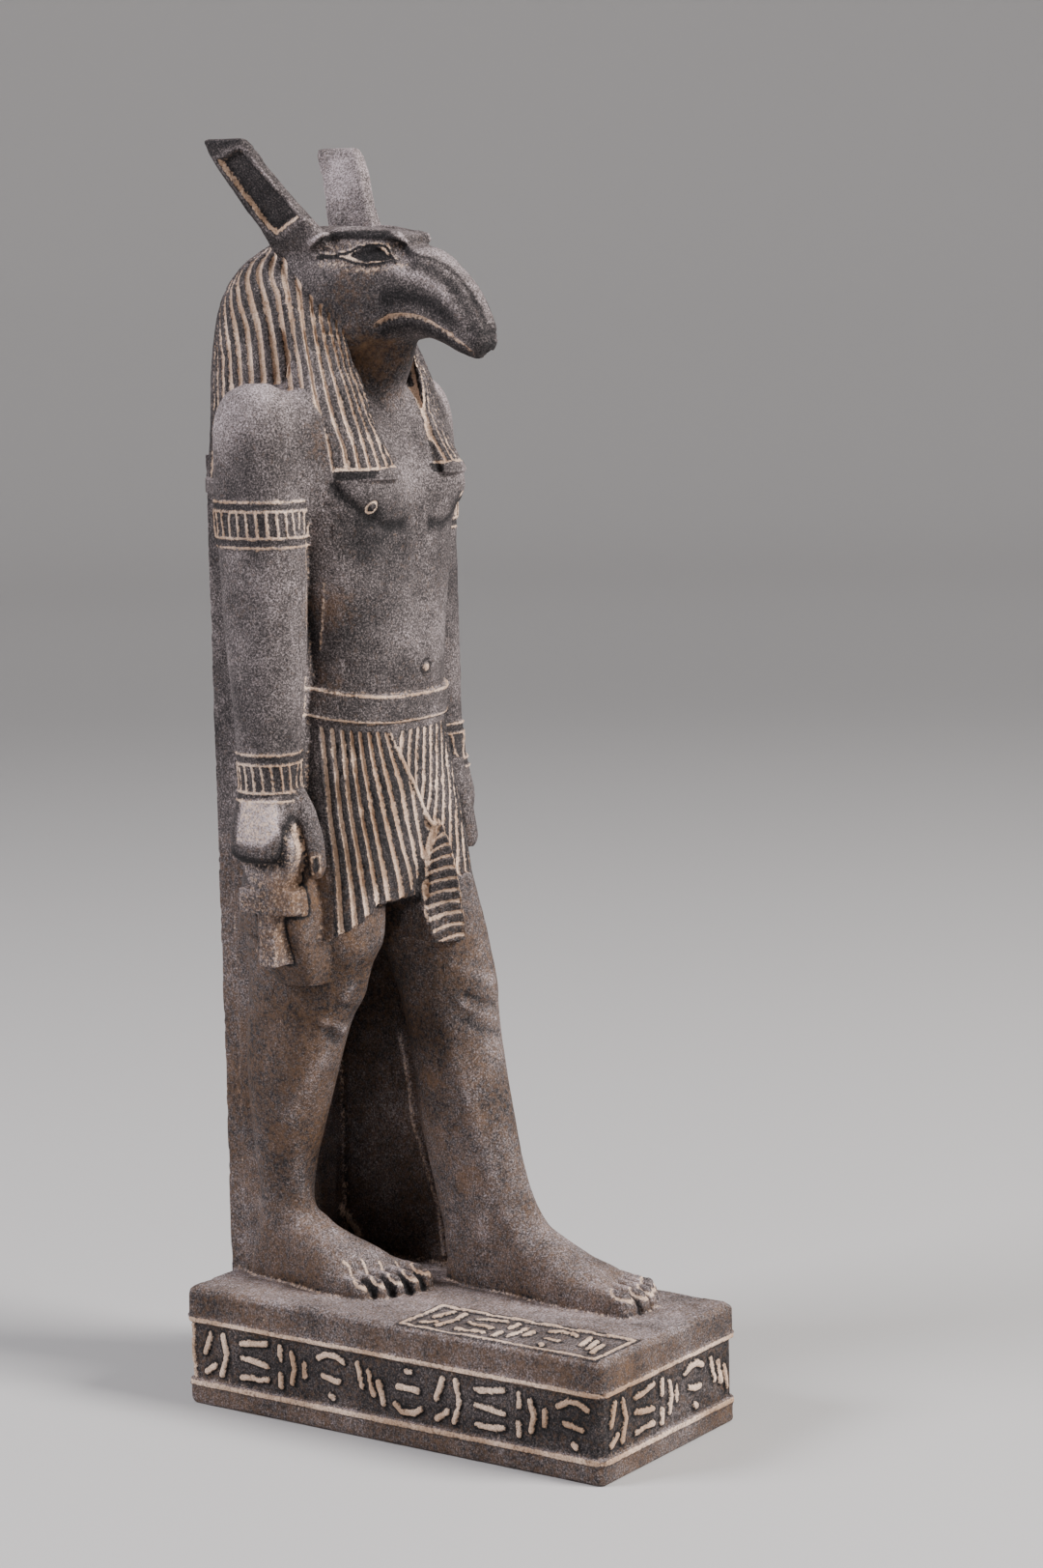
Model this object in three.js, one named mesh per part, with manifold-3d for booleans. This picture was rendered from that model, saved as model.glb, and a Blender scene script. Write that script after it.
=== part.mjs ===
// Striding statue of an Egyptian god with the long snout and tall square ears of the
// Set animal, cut in one with its back pillar and plinth.
// Millimetres. The plinth stands on z = 0, the figure looks towards -Y, and its right
// hand, which holds the ankh, is on the -X side.
import * as THREE from 'three';
import { mergeVertices } from 'three/addons/utils/BufferGeometryUtils.js';
import Module from 'manifold-3d';

const wasm = await Module();
wasm.setup();

// Driving dimensions
const PLINTH = { width: 80, length: 168, height: 40, edge: 1.6 };
// The sides of the plinth: two raised lines with a sunk field between them
const BAND = { top: 30, bottom: 6.6, line: 1.7, rise: 0.6, sunk: 0.8 };
const TOP_PANEL = { x0: -37.5, x1: -13.5, y0: -80, y1: -4, line: 1.3, rise: 0.5 };
const SIGN = { wide: 2, rise: 0.9, gap: 2.4 };
const PILLAR = { half: 14, front: 60, back: 84, top: 316 };
const FLOOR = PLINTH.height;
// How deep the legs and feet reach into the plinth
const ROOT = 10;
const BASE = FLOOR - ROOT;
const WIG = { locks: 30, depth: 1.1 };
const EAR = { sunk: 1.7, margin: 3 };
const LAPPET = { locks: 7, depth: 0.8, rise: 2.2, band: 0.7, back: 36, thick: 8, edge: 0.8 };
const PLEAT = { count: 19, depth: 0.9, slant: 0.24 };
const APRON = { stripes: 9, depth: 0.6 };
const HOOP = { rise: 0.7, high: 3 };
const CORD = { half: 0.9, deep: 6 };
const STONE = { color: 0x4a4541, roughness: 0.86, metalness: 0 };

const vec = (x, y, z) => new THREE.Vector3(x, y, z);
const signedPower = (value, power) => Math.sign(value) * Math.abs(value) ** power;
const bell = (distance, width) => Math.exp(-((distance / width) ** 2));
const clamp = (value) => Math.min(Math.max(value, 0), 1);

// Rows of numbers read as one smooth curve without overshoot: place 1.5 lies between
// the second and the third row.
function between(rows, place) {
  const i = Math.min(Math.floor(place), rows.length - 2);
  const f = place - i;
  const slope = (k, j) => {
    const before = rows[k][j] - rows[k - 1][j];
    const after = rows[k + 1][j] - rows[k][j];
    return before * after > 0 ? (2 * before * after) / (before + after) : 0;
  };
  return rows[i].map((value, j) => {
    const rise = rows[i + 1][j] - value;
    const start = i === 0 ? rise : slope(i, j);
    const end = i === rows.length - 2 ? rise : slope(i + 1, j);
    return value + rise * f * f * (3 - 2 * f) + f * (1 - f) * ((1 - f) * start - f * end);
  });
}

function sample(rows, steps) {
  const count = (rows.length - 1) * steps;
  return Array.from({ length: count + 1 }, (_, k) => between(rows, k / steps));
}

// The row of a tower at a given height
function rowAt(rows, height) {
  const k = rows.findIndex((row, i) => i + 1 < rows.length && rows[i + 1][0] <= height);
  return between(rows, k + (height - rows[k][0]) / (rows[k + 1][0] - rows[k][0]));
}

// One ring of a body: a superellipse on the half axes u and v, pushed out by
// lift(point, number of the point). The first point lies at the angle start.
function ring(centre, u, v, power, sides, lift = () => 0, start = 0) {
  return Array.from({ length: sides }, (_, k) => {
    const angle = start + (2 * Math.PI * k) / sides;
    const a = signedPower(Math.cos(angle), 2 / power);
    const b = signedPower(Math.sin(angle), 2 / power);
    const point = centre.clone().addScaledVector(u, a).addScaledVector(v, b);
    const out = u.clone().multiplyScalar(a / u.lengthSq()).addScaledVector(v, b / v.lengthSq());
    return point.addScaledVector(out.normalize(), lift(point, k));
  });
}

// Closed skin over a stack of rings, with its faces turned outwards.
function skin(rings) {
  const sides = rings[0].length;
  const points = rings.flat();
  const faces = [];
  for (let r = 0; r + 1 < rings.length; r += 1) {
    for (let k = 0; k < sides; k += 1) {
      const a = r * sides + k;
      const b = r * sides + ((k + 1) % sides);
      faces.push([a, b, b + sides], [a, b + sides, a + sides]);
    }
  }
  [0, rings.length - 1].forEach((level) => {
    const middle = points.length;
    const total = rings[level].reduce((sum, point) => sum.add(point), vec(0, 0, 0));
    points.push(total.divideScalar(sides));
    for (let k = 0; k < sides; k += 1) {
      const edge = [level * sides + k, level * sides + ((k + 1) % sides)];
      faces.push([middle, ...(level === 0 ? edge.reverse() : edge)]);
    }
  });
  const volume = faces.reduce(
    (sum, [a, b, c]) => sum + points[a].dot(points[b].clone().cross(points[c])), 0);
  const turned = volume < 0 ? faces.map(([a, b, c]) => [a, c, b]) : faces;
  return new wasm.Manifold(new wasm.Mesh({
    numProp: 3,
    vertProperties: new Float32Array(points.flatMap((point) => point.toArray())),
    triVerts: new Uint32Array(turned.flat()),
  }));
}

function solidOf(geometry) {
  geometry.deleteAttribute('normal');
  geometry.deleteAttribute('uv');
  const merged = mergeVertices(geometry, 1e-4);
  return new wasm.Manifold(new wasm.Mesh({
    numProp: 3,
    vertProperties: new Float32Array(merged.attributes.position.array),
    triVerts: new Uint32Array(merged.index.array),
  }));
}

const join = (solids) => solids.reduce((sum, solid) => sum.add(solid));

function block(x0, x1, y0, y1, z0, z1) {
  const geometry = new THREE.BoxGeometry(x1 - x0, y1 - y0, z1 - z0);
  return solidOf(geometry.translate((x0 + x1) / 2, (y0 + y1) / 2, (z0 + z1) / 2));
}

// Upright body: rows of height, middle x, half width, front y, back y, squareness.
// bend(point, level from 0 to 1) moves the finished points; turn is the angle by which
// the points wind round the body from the first row to the last.
function tower(rows, sides, { lift, bend = (point) => point, turn = 0 } = {}) {
  const last = rows.length - 1;
  return skin(rows.map(([z, x, half, front, back, power], level) => ring(
    vec(x, (front + back) / 2, z), vec(half, 0, 0), vec(0, (back - front) / 2, 0),
    power, sides, lift, (turn * level) / last).map((point) => bend(point, level / last))));
}

// Body that runs along y: rows of y, middle x, half width, top z, bottom z, squareness.
// skew slants its front end: y changes by skew for each millimetre across.
function runner(rows, sides, skew = 0) {
  return skin(rows.map(([y, x, half, top, bottom, power], level) => ring(
    vec(x, y, (top + bottom) / 2), vec(half, 0, 0), vec(0, 0, (top - bottom) / 2),
    power, sides).map((point) => point.setY(
    y + (skew * (point.x - x) * level) / (rows.length - 1)))));
}

// Slab that hangs or leans: rows of height, then x and y of its two front edges.
function slab(rows, steps, thick, power, sides, lift) {
  return skin(sample(rows, steps).map(([z, x0, y0, x1, y1], level) => {
    const across = vec(x1 - x0, y1 - y0, 0).multiplyScalar(0.5);
    const inward = vec(-across.y, across.x, 0).normalize();
    if (inward.y < 0) inward.negate();
    inward.multiplyScalar(thick / 2);
    const centre = vec((x0 + x1) / 2, (y0 + y1) / 2, z).add(inward);
    return ring(centre, across, inward, power, sides,
      lift ? (point, k) => lift(point, k, level) : undefined);
  }));
}

// Raised line along a chain of points, oblong in section and mostly sunk in the body
function cordOf(points) {
  return skin(points.map((point, k) => {
    const next = points[Math.min(k + 1, points.length - 1)];
    const last = points[Math.max(k - 1, 0)];
    const along = next.clone().sub(last).normalize();
    const side = along.clone().cross(vec(0, 1, 0)).normalize().multiplyScalar(CORD.half);
    const deep = along.cross(side).normalize().multiplyScalar(CORD.deep);
    if (deep.y < 0) deep.negate();
    return [[1, 1], [-1, 1], [-1, 0], [1, 0]].map(
      ([a, b]) => point.clone().addScaledVector(side, a).addScaledVector(deep, b));
  }));
}

const mirrored = (rows, side) => rows.map(([first, x, ...rest]) => [first, x * side, ...rest]);

// The long curved snout and the skull: rows of ridge y and z, underside y and z,
// half width, squareness, from the back of the skull to the tip.
function head() {
  const profile = [
    [66, 378, 66, 346, 12, 2.3], [52, 386, 56, 338, 18, 2.5], [36, 386.5, 42, 336, 19.5, 2.6],
    [20, 386, 29, 341, 18.2, 2.5], [8, 384, 17, 348, 15.2, 2.4], [-1, 381.5, 8, 352.6, 12.3, 2.3],
    [-9, 376.5, 1, 353.6, 10, 2.3], [-15.4, 370.5, -5.5, 351.8, 8.5, 2.3],
    [-20.2, 363, -12, 348.8, 7, 2.3], [-23, 355.5, -17.2, 347.2, 5.4, 2.4],
    [-23, 351.5, -19.4, 347.8, 3, 2.3],
  ];
  const skull = skin(sample(profile, 2).map(([y1, z1, y0, z0, half, power]) => ring(
    vec(0, (y0 + y1) / 2, (z0 + z1) / 2), vec(half, 0, 0),
    vec(0, (y1 - y0) / 2, (z1 - z0) / 2), power, 14)));
  // The crown is a flat slab that ends in a small step over the snout
  const crown = runner([
    [56, 0, 13, 388.6, 370, 3], [40, 0, 16.4, 389.4, 372, 3], [26, 0, 15.6, 388.8, 375, 3.2],
    [14, 0, 13, 387.6, 379, 3.2], [8.4, 0, 9.6, 386.8, 381.6, 3], [5.4, 0, 5.6, 386.3, 382.6, 3],
  ], 12);
  const neck = tower([
    [362, 0, 12, 6, 58, 2.2], [352, 0, 13.5, 9, 60, 2.2], [343, 0, 14.5, 12.5, 60, 2.2],
    [334, 0, 16, 17, 62, 2.2], [322, 0, 18, 21, 62, 2.2],
  ], 12);
  return join([skull, crown, neck]);
}

// Tall square-topped ear, leaning back and outwards, with a sunk field on its outer face
function ear(side) {
  const rows = side < 0 ? [
    [417.5, 31, 2.4, 49.6, 66.4, 6], [408, 27, 2.8, 44.6, 62.6, 6], [396, 21.4, 3, 36.8, 57, 6],
    [386, 16.6, 3.2, 29.6, 53, 5], [378, 10.6, 3.2, 27, 52, 4],
  ] : [
    [415, 29.6, 2.4, 50.8, 67.4, 6], [408, 26.6, 2.8, 46, 63.2, 6], [396, 21.2, 3, 39.2, 57, 6],
    [386, 16.6, 3.2, 33, 53, 5], [378, 10.6, 3.2, 30, 52, 4],
  ];
  const field = skin([390, 411].map((z) => {
    const [, x, half, front, back] = rowAt(rows, z);
    const face = x + half - EAR.sunk;
    return [[0, front], [6, front], [6, back], [0, back]].map(([out, y]) => vec(
      side * (face + out), y + Math.sign((front + back) / 2 - y) * EAR.margin, z));
  }));
  return tower(mirrored(rows, side), 14).subtract(field);
}

function wig() {
  const groove = (point, k) => (k % 2 ? -WIG.depth : 0);
  const fall = tower([
    [384, 0, 11, 48, 62, 2], [376, 0, 21.2, 41, 71.2, 2], [368, 0, 26, 35, 76.6, 2.05],
    [357, 0, 29, 27, 80, 2.1], [337, 0, 30.8, 22, 82.6, 2.1], [308, 0, 31, 34, 83.2, 2.15],
  ], WIG.locks * 2, { lift: groove });
  const rim = tower([[309, 0, 31.2, 40, 83.4, 2.1], [304.5, 0, 31.2, 40, 83.4, 2.1]], 18);
  return join([fall, rim]);
}

// Chest muscles, breastbone, ribs and belly stand out from the plain trunk
function muscles({ x, y, z }) {
  const front = clamp((30 - y) / 14);
  const chest = 6 * bell(Math.abs(x) - 21, 11.5) * bell(z - 306, z < 306 ? 8.5 : 13);
  const belly = 2 * bell(x, 14) * bell(z - 252, 10);
  const hollow = bell(x, 4) * bell(z - 280, 18);
  return front * (chest + belly - hollow);
}

// Rows of height, middle x, half width, front y, back y, squareness
const TRUNK = [
  [343, 0, 22, 27, 60, 2.3], [337, 0, 35, 19.6, 64, 2.5], [326, 0, 39, 14, 66, 2.5],
  [316, 0, 39, 11.2, 66, 2.5], [306, 0, 38, 9, 66, 2.5], [297, 0, 36.6, 8.6, 66, 2.6],
  [287, 0, 34.6, 8.4, 64, 2.7], [278, 0, 33, 8, 63, 2.6], [268, 0, 31, 8, 62, 2.5],
  [256, 0, 29, 7.8, 62, 2.4], [247, 0, 28.4, 7.8, 62, 2.3], [239, 0, 29.4, 9, 62, 2.3],
  [226, 0, 31, 11.5, 62, 2.3],
];

const torso = () => tower(TRUNK, 24, { lift: muscles });

// Front of the trunk at a place across and up
function trunkFront(x, z) {
  const [, , half, front, back, power] = rowAt(TRUNK, z);
  const depth = (back - front) / 2;
  const y = front + depth - depth * (1 - Math.abs(x / half) ** power) ** (1 / power);
  return y - muscles({ x, y, z });
}

// A lappet of the wig lies on the chest: rows of height, inner x and y, outer x and y.
// Towards the neck it leaves the chest and runs into the side of the wig.
function lappet(side) {
  const edges = [
    [379, 15, 48, 18, 53], [370, 17.2, 37, 24.4, 43], [357, 17, 23.2, 28.4, 32],
    [346, 16, 18.6, 31, 26.6], [336, 14.6, 16, 31.6, 22.8], [325, 13, 13.2, 31.8, 19.4],
    [312.6, 11.4, 10.4, 31.6, 16.6],
  ];
  const strip = (rows, rise, depth) => skin(rows.map(([z, x0, y0, x1, y1]) => {
    const count = LAPPET.locks * 2;
    const onChest = clamp((345 - z) / 16);
    const front = Array.from({ length: count + 1 }, (_, k) => {
      const x = x0 + ((x1 - x0) * k) / count;
      const plain = y0 + ((y1 - y0) * k) / count;
      const laid = Math.min(trunkFront(x, Math.min(z, 330)) - rise, plain + 3);
      const edge = k === 0 || k === count ? LAPPET.edge : 0;
      return vec(side * x, plain + (laid - plain) * onChest + (k % 2 ? depth : 0) + edge, z);
    });
    const back = Math.max(LAPPET.back, y1 + LAPPET.thick);
    return [...front, vec(side * x1, back, z), vec(side * x0, back, z)];
  }));
  const [, ...last] = edges[edges.length - 1];
  return join([
    strip(edges, LAPPET.rise, LAPPET.depth),
    strip([[313, ...last], [309.6, ...last]], LAPPET.rise + LAPPET.band, 0),
  ]);
}

// Rows of height, middle x, half width, front y, back y, squareness
const ARM = [
  [340.6, 41, 3.5, 36, 44, 2], [338, 41, 8, 31, 50, 2], [333, 41, 10.6, 27, 53.4, 2.1],
  [324, 41.2, 11.6, 25, 55, 2.2], [306, 41.2, 11.6, 24.4, 55, 2.3],
  [284, 41.2, 11.4, 24.6, 53.6, 2.3], [262, 41.4, 11, 25.2, 52.2, 2.3],
  [242, 41.8, 10.2, 26.6, 50.4, 2.2], [226, 42, 9.4, 28.4, 48.8, 2.2],
  [212, 42.2, 8.8, 29, 47.6, 2.2], [206, 42.4, 8.8, 28.4, 48, 2.3],
];
// Heights of the armlet's and the bracelet's edges
const HOOPS = [302.8, 291.2, 222, 211.4];

// The left arm hangs a little further forward towards the hand, and closer to the body
const hang = (rows, side) => mirrored(rows, side).map(([z, x, half, front, back, power]) => {
  const shift = side < 0 ? 0 : -0.08 * clamp((270 - z) / 60) * 60;
  const closer = side < 0 ? 0 : 1.2 * clamp((z - 215) / 30);
  return [z, x - closer, half, front + shift, back + shift, power];
});

// Armlet and bracelet are raised rings on the arm
function arm(side) {
  const edge = HOOP.high / 2;
  const raised = HOOPS.flatMap((height) => [1, -1].flatMap((end) => {
    const [, x, half, front, back, power] = rowAt(ARM, height);
    const z = height + end * edge;
    const plain = [z + end * 0.1, x, half, front, back, power];
    const proud = [z, x, half + HOOP.rise, front - HOOP.rise, back + HOOP.rise, power];
    return end > 0 ? [plain, proud] : [proud, plain];
  }));
  const clear = ARM.filter(([z]) => HOOPS.every((height) => Math.abs(z - height) > edge + 1));
  const rows = [...clear, ...raised].sort((a, b) => b[0] - a[0]);
  return tower(hang(rows, side), 12);
}

function fist(side) {
  const palm = tower(hang([
    [212, 42.6, 8.4, 29, 47.6, 2.4], [206, 43, 9, 28, 49, 2.6], [199, 43, 9.8, 27, 50.4, 3],
    [192, 43, 9.8, 28, 50.4, 3], [188.4, 42.6, 8.4, 30, 48.6, 2.6],
  ], side), 12);
  const thumb = tower(hang([
    [212, 40, 4, 27, 36, 2.2], [203, 38.5, 4.4, 23.5, 34, 2.2], [194, 38, 4.2, 21.4, 30, 2.2],
    [186, 38.4, 3.6, 20.4, 27.4, 2.2], [182.6, 38.6, 2.2, 21.8, 26, 2.2],
  ], side), 8);
  return join([palm, thumb]);
}

// The ankh stands out flat from the stone beside the kilt. Its loop is an open drop
// that runs up into the fist.
function ankh() {
  const face = -48.4;
  const back = -40;
  const bar = block(face, back, 26.6, 47.6, 171.8, 179.6);
  const stem = block(face, back, 33.7, 40.2, 154.6, 174);
  const outline = (half, low, high) => {
    const waist = low + (high - low) * 0.5;
    return [[0, low], [half * 0.9, waist - 4], [half, waist + 2], [half * 0.5, high - 3], [0, high],
      [-half * 0.5, high - 3], [-half, waist + 2], [-half * 0.9, waist - 4]];
  };
  const drop = (half, low, high, x0, x1) => skin([x0, x1].map(
    (x) => outline(half, low, high).map(([y, z]) => vec(x, 36.8 + y, z))));
  const loop = drop(11.4, 174.6, 206, face + 0.4, back)
    .subtract(drop(5.6, 183, 203, face - 1, face + 3));
  return join([bar, stem, loop]);
}

// The kilt is two panels that part over the advanced left leg. Their hem rises from
// the sides to a peak between the legs, and the belt dips at the front.
function kilt() {
  const groove = (point, k) => (k % 2 ? -PLEAT.depth : 0);
  const dip = (point) => -5 * clamp((40 - point.y) / 30);
  const hem = (rise, reach) => (point, level) => point.setZ(point.z + dip(point) * (1 - level)
    + rise * clamp(reach(point.x)) * clamp((45 - point.y) / 15) * level);
  const right = tower([
    [238, 0, 30.6, 9.6, 63, 2.3], [220, -2, 30.4, 9, 64, 2.3], [202, -4.8, 29.4, 8.4, 66, 2.3],
    [184, -7, 27.8, 9.2, 68, 2.6], [161, -10.4, 24.6, 12, 70, 2.8],
  ], PLEAT.count * 2, { lift: groove, bend: hem(11.5, (x) => (x + 34) / 15), turn: PLEAT.slant });
  const left = tower([
    [238, 0, 30.6, 9.8, 63, 2.3], [220, 4, 29.4, 8.8, 63, 2.3], [202, 9, 25.4, 7, 62, 2.3],
    [184, 14, 21.4, 5.6, 60, 2.2], [158, 16.6, 19.4, 3.2, 55, 2.2],
  ], PLEAT.count * 2, { lift: groove, bend: hem(14, (x) => (12 - x) / 12), turn: -PLEAT.slant });
  const belt = tower([
    [245, 0, 29.6, 6.6, 62.6, 2.3], [236, 0, 31.6, 8.2, 63.6, 2.3],
  ], 24, { bend: (point) => point.setZ(point.z + dip(point)) });
  const wrap = cordOf([vec(-16.4, 9.2, 232), vec(-8.4, 7.6, 217), vec(0, 6.6, 203),
    vec(5, 4.8, 195)]);
  return join([right, left, belt, apron(), wrap]);
}

// The apron hangs between the panels, with cross stripes
function apron() {
  const edges = [
    [196.4, 4.4, 5.6, 5.6, 5], [187, 2.6, 8.2, 8.4, 2.8], [173, 1, 10.6, 9, -0.2],
    [157.4, -0.4, 4.8, 9, -2.2],
  ];
  const stripe = (point, k, level) => (level % 2 ? -APRON.depth : 0);
  return slab(edges, (APRON.stripes * 2) / (edges.length - 1), 14, 5, 8, stripe);
}

function legs() {
  const knee = (middle, front) => ({ x, y, z }) => 1.8 * bell(x - middle, 8) * bell(z - 140, 7)
    * clamp((front + 12 - y) / 8);
  const right = tower([
    [178, -15, 18, 18, 68, 2.3], [160, -15, 16.8, 18.6, 68, 2.3],
    [149, -14.6, 15.2, 24.4, 68, 2.3], [140, -14.2, 14.2, 28.6, 68.6, 2.3],
    [129, -13.6, 13.6, 33.6, 70, 2.3], [114, -13, 13, 39.4, 71.4, 2.3],
    [96, -12, 11.8, 45.6, 71.6, 2.2], [80, -11.2, 9.4, 50.6, 71, 2.2], [68, -11, 8.2, 52.4, 70, 2.2],
    [58, -11, 8, 48.4, 71.6, 2.3], [BASE, -11, 8, 42, 73, 2.4],
  ], 14, { lift: knee(-11, 28) });
  const left = tower([
    [178, 15, 16, 4, 54, 2.3], [160, 17, 15.6, 0.5, 44, 2.3], [149, 17.8, 14.6, -1.4, 36, 2.3],
    [140, 18.3, 14, -2.4, 31.6, 2.3], [129, 18.5, 13.6, -3.4, 28.6, 2.3],
    [114, 18.5, 12.8, -5.6, 26, 2.3], [96, 18.4, 11.8, -9.8, 24.6, 2.2],
    [80, 17.6, 10, -14.4, 21, 2.2], [68, 17, 9.1, -20, 18, 2.2], [58, 17, 9, -26, 15.6, 2.3],
    [BASE, 17, 9, -28, 12, 2.4],
  ], 14, { lift: knee(17, -2) });
  return join([right, left]);
}

// A foot is an arch with five toes: rows of middle x, tip y, length, half width, height
function foot(arch, skew, toes) {
  const digits = toes.map(([x, tip, length, half, rise]) => runner([
    [tip + length, x, half * 0.9, FLOOR + rise, FLOOR - rise, 2.4],
    [tip + length * 0.24, x, half, FLOOR + rise * 0.8, FLOOR - rise, 2.4],
    [tip, x, half * 0.6, FLOOR + rise * 0.4, FLOOR - rise, 2.2],
  ], 6));
  return join([runner(arch, 12, skew), ...digits]);
}

function feet() {
  const right = foot([
    [74, -10.5, 5, 48, BASE, 2.3], [70, -10.6, 7, 58, BASE, 2.4], [58, -10.8, 8.2, 66, BASE, 2.4],
    [44, -11.6, 10, 60, BASE, 2.3], [35, -11, 12.2, 55.6, BASE, 2.3],
    [27, -10.4, 13, 50.6, BASE, 2.4], [25, -10.4, 12.4, 47, BASE, 2.4],
  ], -0.5, [[0.2, 10.6, 17, 3.6, 9], [-5.9, 11.2, 19, 2.9, 8.6], [-11.2, 13.6, 19, 2.7, 8.2],
    [-16.2, 17, 18, 2.6, 7.8], [-20.8, 21, 16, 2.5, 7.2]]);
  const left = foot([
    [14, 17, 4, 48, BASE, 2.3], [8, 17, 7, 58, BASE, 2.4], [-8, 16.6, 8.6, 67, BASE, 2.4],
    [-24, 16.6, 11, 62, BASE, 2.3], [-38, 17, 13.4, 54.5, BASE, 2.3],
    [-49, 18, 13.8, 50, BASE, 2.4], [-51.4, 18.4, 13, 47, BASE, 2.4],
  ], 0.3, [[7.4, -65.4, 17, 4.2, 9], [14.6, -66, 18, 3.3, 8.4], [20.6, -64.6, 17, 3, 8],
    [25.8, -62, 16, 2.8, 7.6], [30.4, -58.6, 14, 2.6, 7.2]]);
  return join([right, left]);
}

// Stone left standing between the limbs and the pillar
function webs() {
  const pillar = block(-PILLAR.half, PILLAR.half, PILLAR.front, PILLAR.back, BASE, PILLAR.top);
  const wall = block(26, 30, 9, 77, BASE, 168);
  const behind = block(-15, 27, 66, 77, BASE, 176);
  const sides = [-1, 1].map((side) => tower([
    [326, side * 30, 12, 31, 52, 4], [204, side * 31.5, 12.5, 31, 50, 4],
    [172, side * 33, 11.4, 26, 48, 4], [158, side * 31, 10, 27, 48, 4],
    [146, side * 27, 7, 30, 47, 3],
  ], 12));
  // The shoulders flow into the chest without a crease down to the armlet
  const shoulders = [-1, 1].map((side) => tower([
    [338, side * 33, 7, 28, 52, 2.4], [331, side * 33, 9, 22, 54, 2.4],
    [320, side * 33.5, 9, 19.6, 54, 2.4], [308, side * 33.5, 8.6, 20.2, 54, 2.4],
    [297, side * 33.5, 7, 24, 52, 2.4], [289, side * 33, 5, 30, 50, 2.4],
  ], 8));
  return join([pillar, wall, behind, ...sides, ...shoulders]);
}

// Place holder for writing: a row of plain raised strokes. Stroke k takes its height,
// slant and level from its own number. The row lies on a face given by its corner, the
// direction of the row, the direction up the strokes and the direction out of the face.
function strokes(corner, along, up, out, length, height, count) {
  return Array.from({ length: count }, (_, k) => {
    const middle = (length * (k + 0.5)) / count;
    const half = (height - SIGN.gap * 2) * (0.22 + 0.14 * ((k * 3) % 3));
    const slant = 0.35 * (((k * 4) % 7) - 3);
    const level = height / 2 + ((k % 3) - 1) * (height / 2 - SIGN.gap - half) * 0.9;
    const at = (side, end, deep) => corner.clone()
      .addScaledVector(along, middle + (side * SIGN.wide) / 2 + end * slant * half * 0.5)
      .addScaledVector(up, level + end * half)
      .addScaledVector(out, deep);
    return skin([-1, SIGN.rise].map((deep) => [
      at(-1, -1, deep), at(1, -1, deep), at(1, 1, deep), at(-1, 1, deep),
    ]));
  });
}

function plinth() {
  const { width, length, height, edge } = PLINTH;
  const { top, bottom, line, rise, sunk } = BAND;
  const level = ([z, grow]) => {
    const x = width / 2 - rise + grow;
    const y = length / 2 - rise + grow;
    return [[x - edge, -y], [x, -y + edge], [x, y - edge], [x - edge, y], [-x + edge, y],
      [-x, y - edge], [-x, -y + edge], [-x + edge, -y]].map(([a, b]) => vec(a, b, z));
  };
  const slope = 0.4;
  const body = skin([
    [0, -0.5], [0.8, 0], [bottom - slope, 0], [bottom, rise], [bottom + line, rise],
    [bottom + line + slope, -sunk], [top - line - slope, -sunk], [top - line, rise], [top, rise],
    [top + slope, 0], [height - edge, 0], [height, -edge],
  ].map(level));
  const low = bottom + line;
  const tall = top - line - low;
  const sideX = width / 2 - rise - sunk;
  const frontY = length / 2 - rise - sunk;
  const up = vec(0, 0, 1);
  // The strokes start past an upright line near the back corner
  const margin = 5;
  const rows = [-1, 1].flatMap((side) => strokes(
    vec(side * sideX, length / 2 - margin - 3, low), vec(0, -1, 0), up, vec(side, 0, 0),
    length - margin - 9, tall, 10));
  const front = strokes(vec(margin - width / 2, -frontY, low), vec(1, 0, 0), up,
    vec(0, -1, 0), width - 2 * margin, tall, 6);
  const posts = [-1, 1].map((side) => block(
    side < 0 ? -width / 2 : sideX - 1, side < 0 ? 1 - sideX : width / 2,
    length / 2 - 4.6, length / 2 - 2.8, low - slope, low + tall + slope));
  return join([body, ...rows, ...front, ...posts, ...topPanel()]);
}

function topPanel() {
  const { x0, x1, y0, y1, line, rise } = TOP_PANEL;
  const low = FLOOR - 1;
  const high = FLOOR + rise;
  const frame = [[x0, x1, y0, y0 + line], [x0, x1, y1 - line, y1], [x0, x0 + line, y0, y1],
    [x1 - line, x1, y0, y1]].map(([a, b, c, d]) => block(a, b, c, d, low, high));
  const signs = strokes(vec(x0 + line, y1 - 4, FLOOR - SIGN.rise + rise), vec(0, -1, 0),
    vec(1, 0, 0), vec(0, 0, 1), y1 - y0 - 8, x1 - x0 - line * 2, 6);
  return [...frame, ...signs];
}

const solid = join([
  plinth(), webs(), legs(), feet(), kilt(), torso(), arm(-1), arm(1), fist(-1), fist(1),
  ankh(), head(), wig(), lappet(-1), lappet(1), ear(-1), ear(1),
]);

function meshOf(name, body) {
  const { vertProperties, triVerts } = body.getMesh();
  const geometry = new THREE.BufferGeometry();
  geometry.setAttribute('position', new THREE.BufferAttribute(vertProperties, 3));
  geometry.setIndex(new THREE.BufferAttribute(triVerts, 1));
  const mesh = new THREE.Mesh(geometry, new THREE.MeshStandardMaterial(STONE));
  mesh.name = name;
  return mesh;
}

const group = new THREE.Group();
group.add(meshOf('statue', solid));

export default group;
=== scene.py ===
"""Stone statue of a striding Egyptian god with the head of the Set animal.

The statue is one carved piece. Its body is a set of overlapping lofts in the places that
the frame gives them, united to one skin, on which the finer carving is then cut. Lengths
are in millimetres in the frame's own axes until the mesh is written, in metres.
"""

from functools import reduce

import bmesh
import bpy
import numpy as np
import openvdb
from bpy.props import FloatProperty, FloatVectorProperty, IntProperty, PointerProperty
from mathutils import Matrix, Vector
from mathutils.geometry import tessellate_polygon


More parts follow.
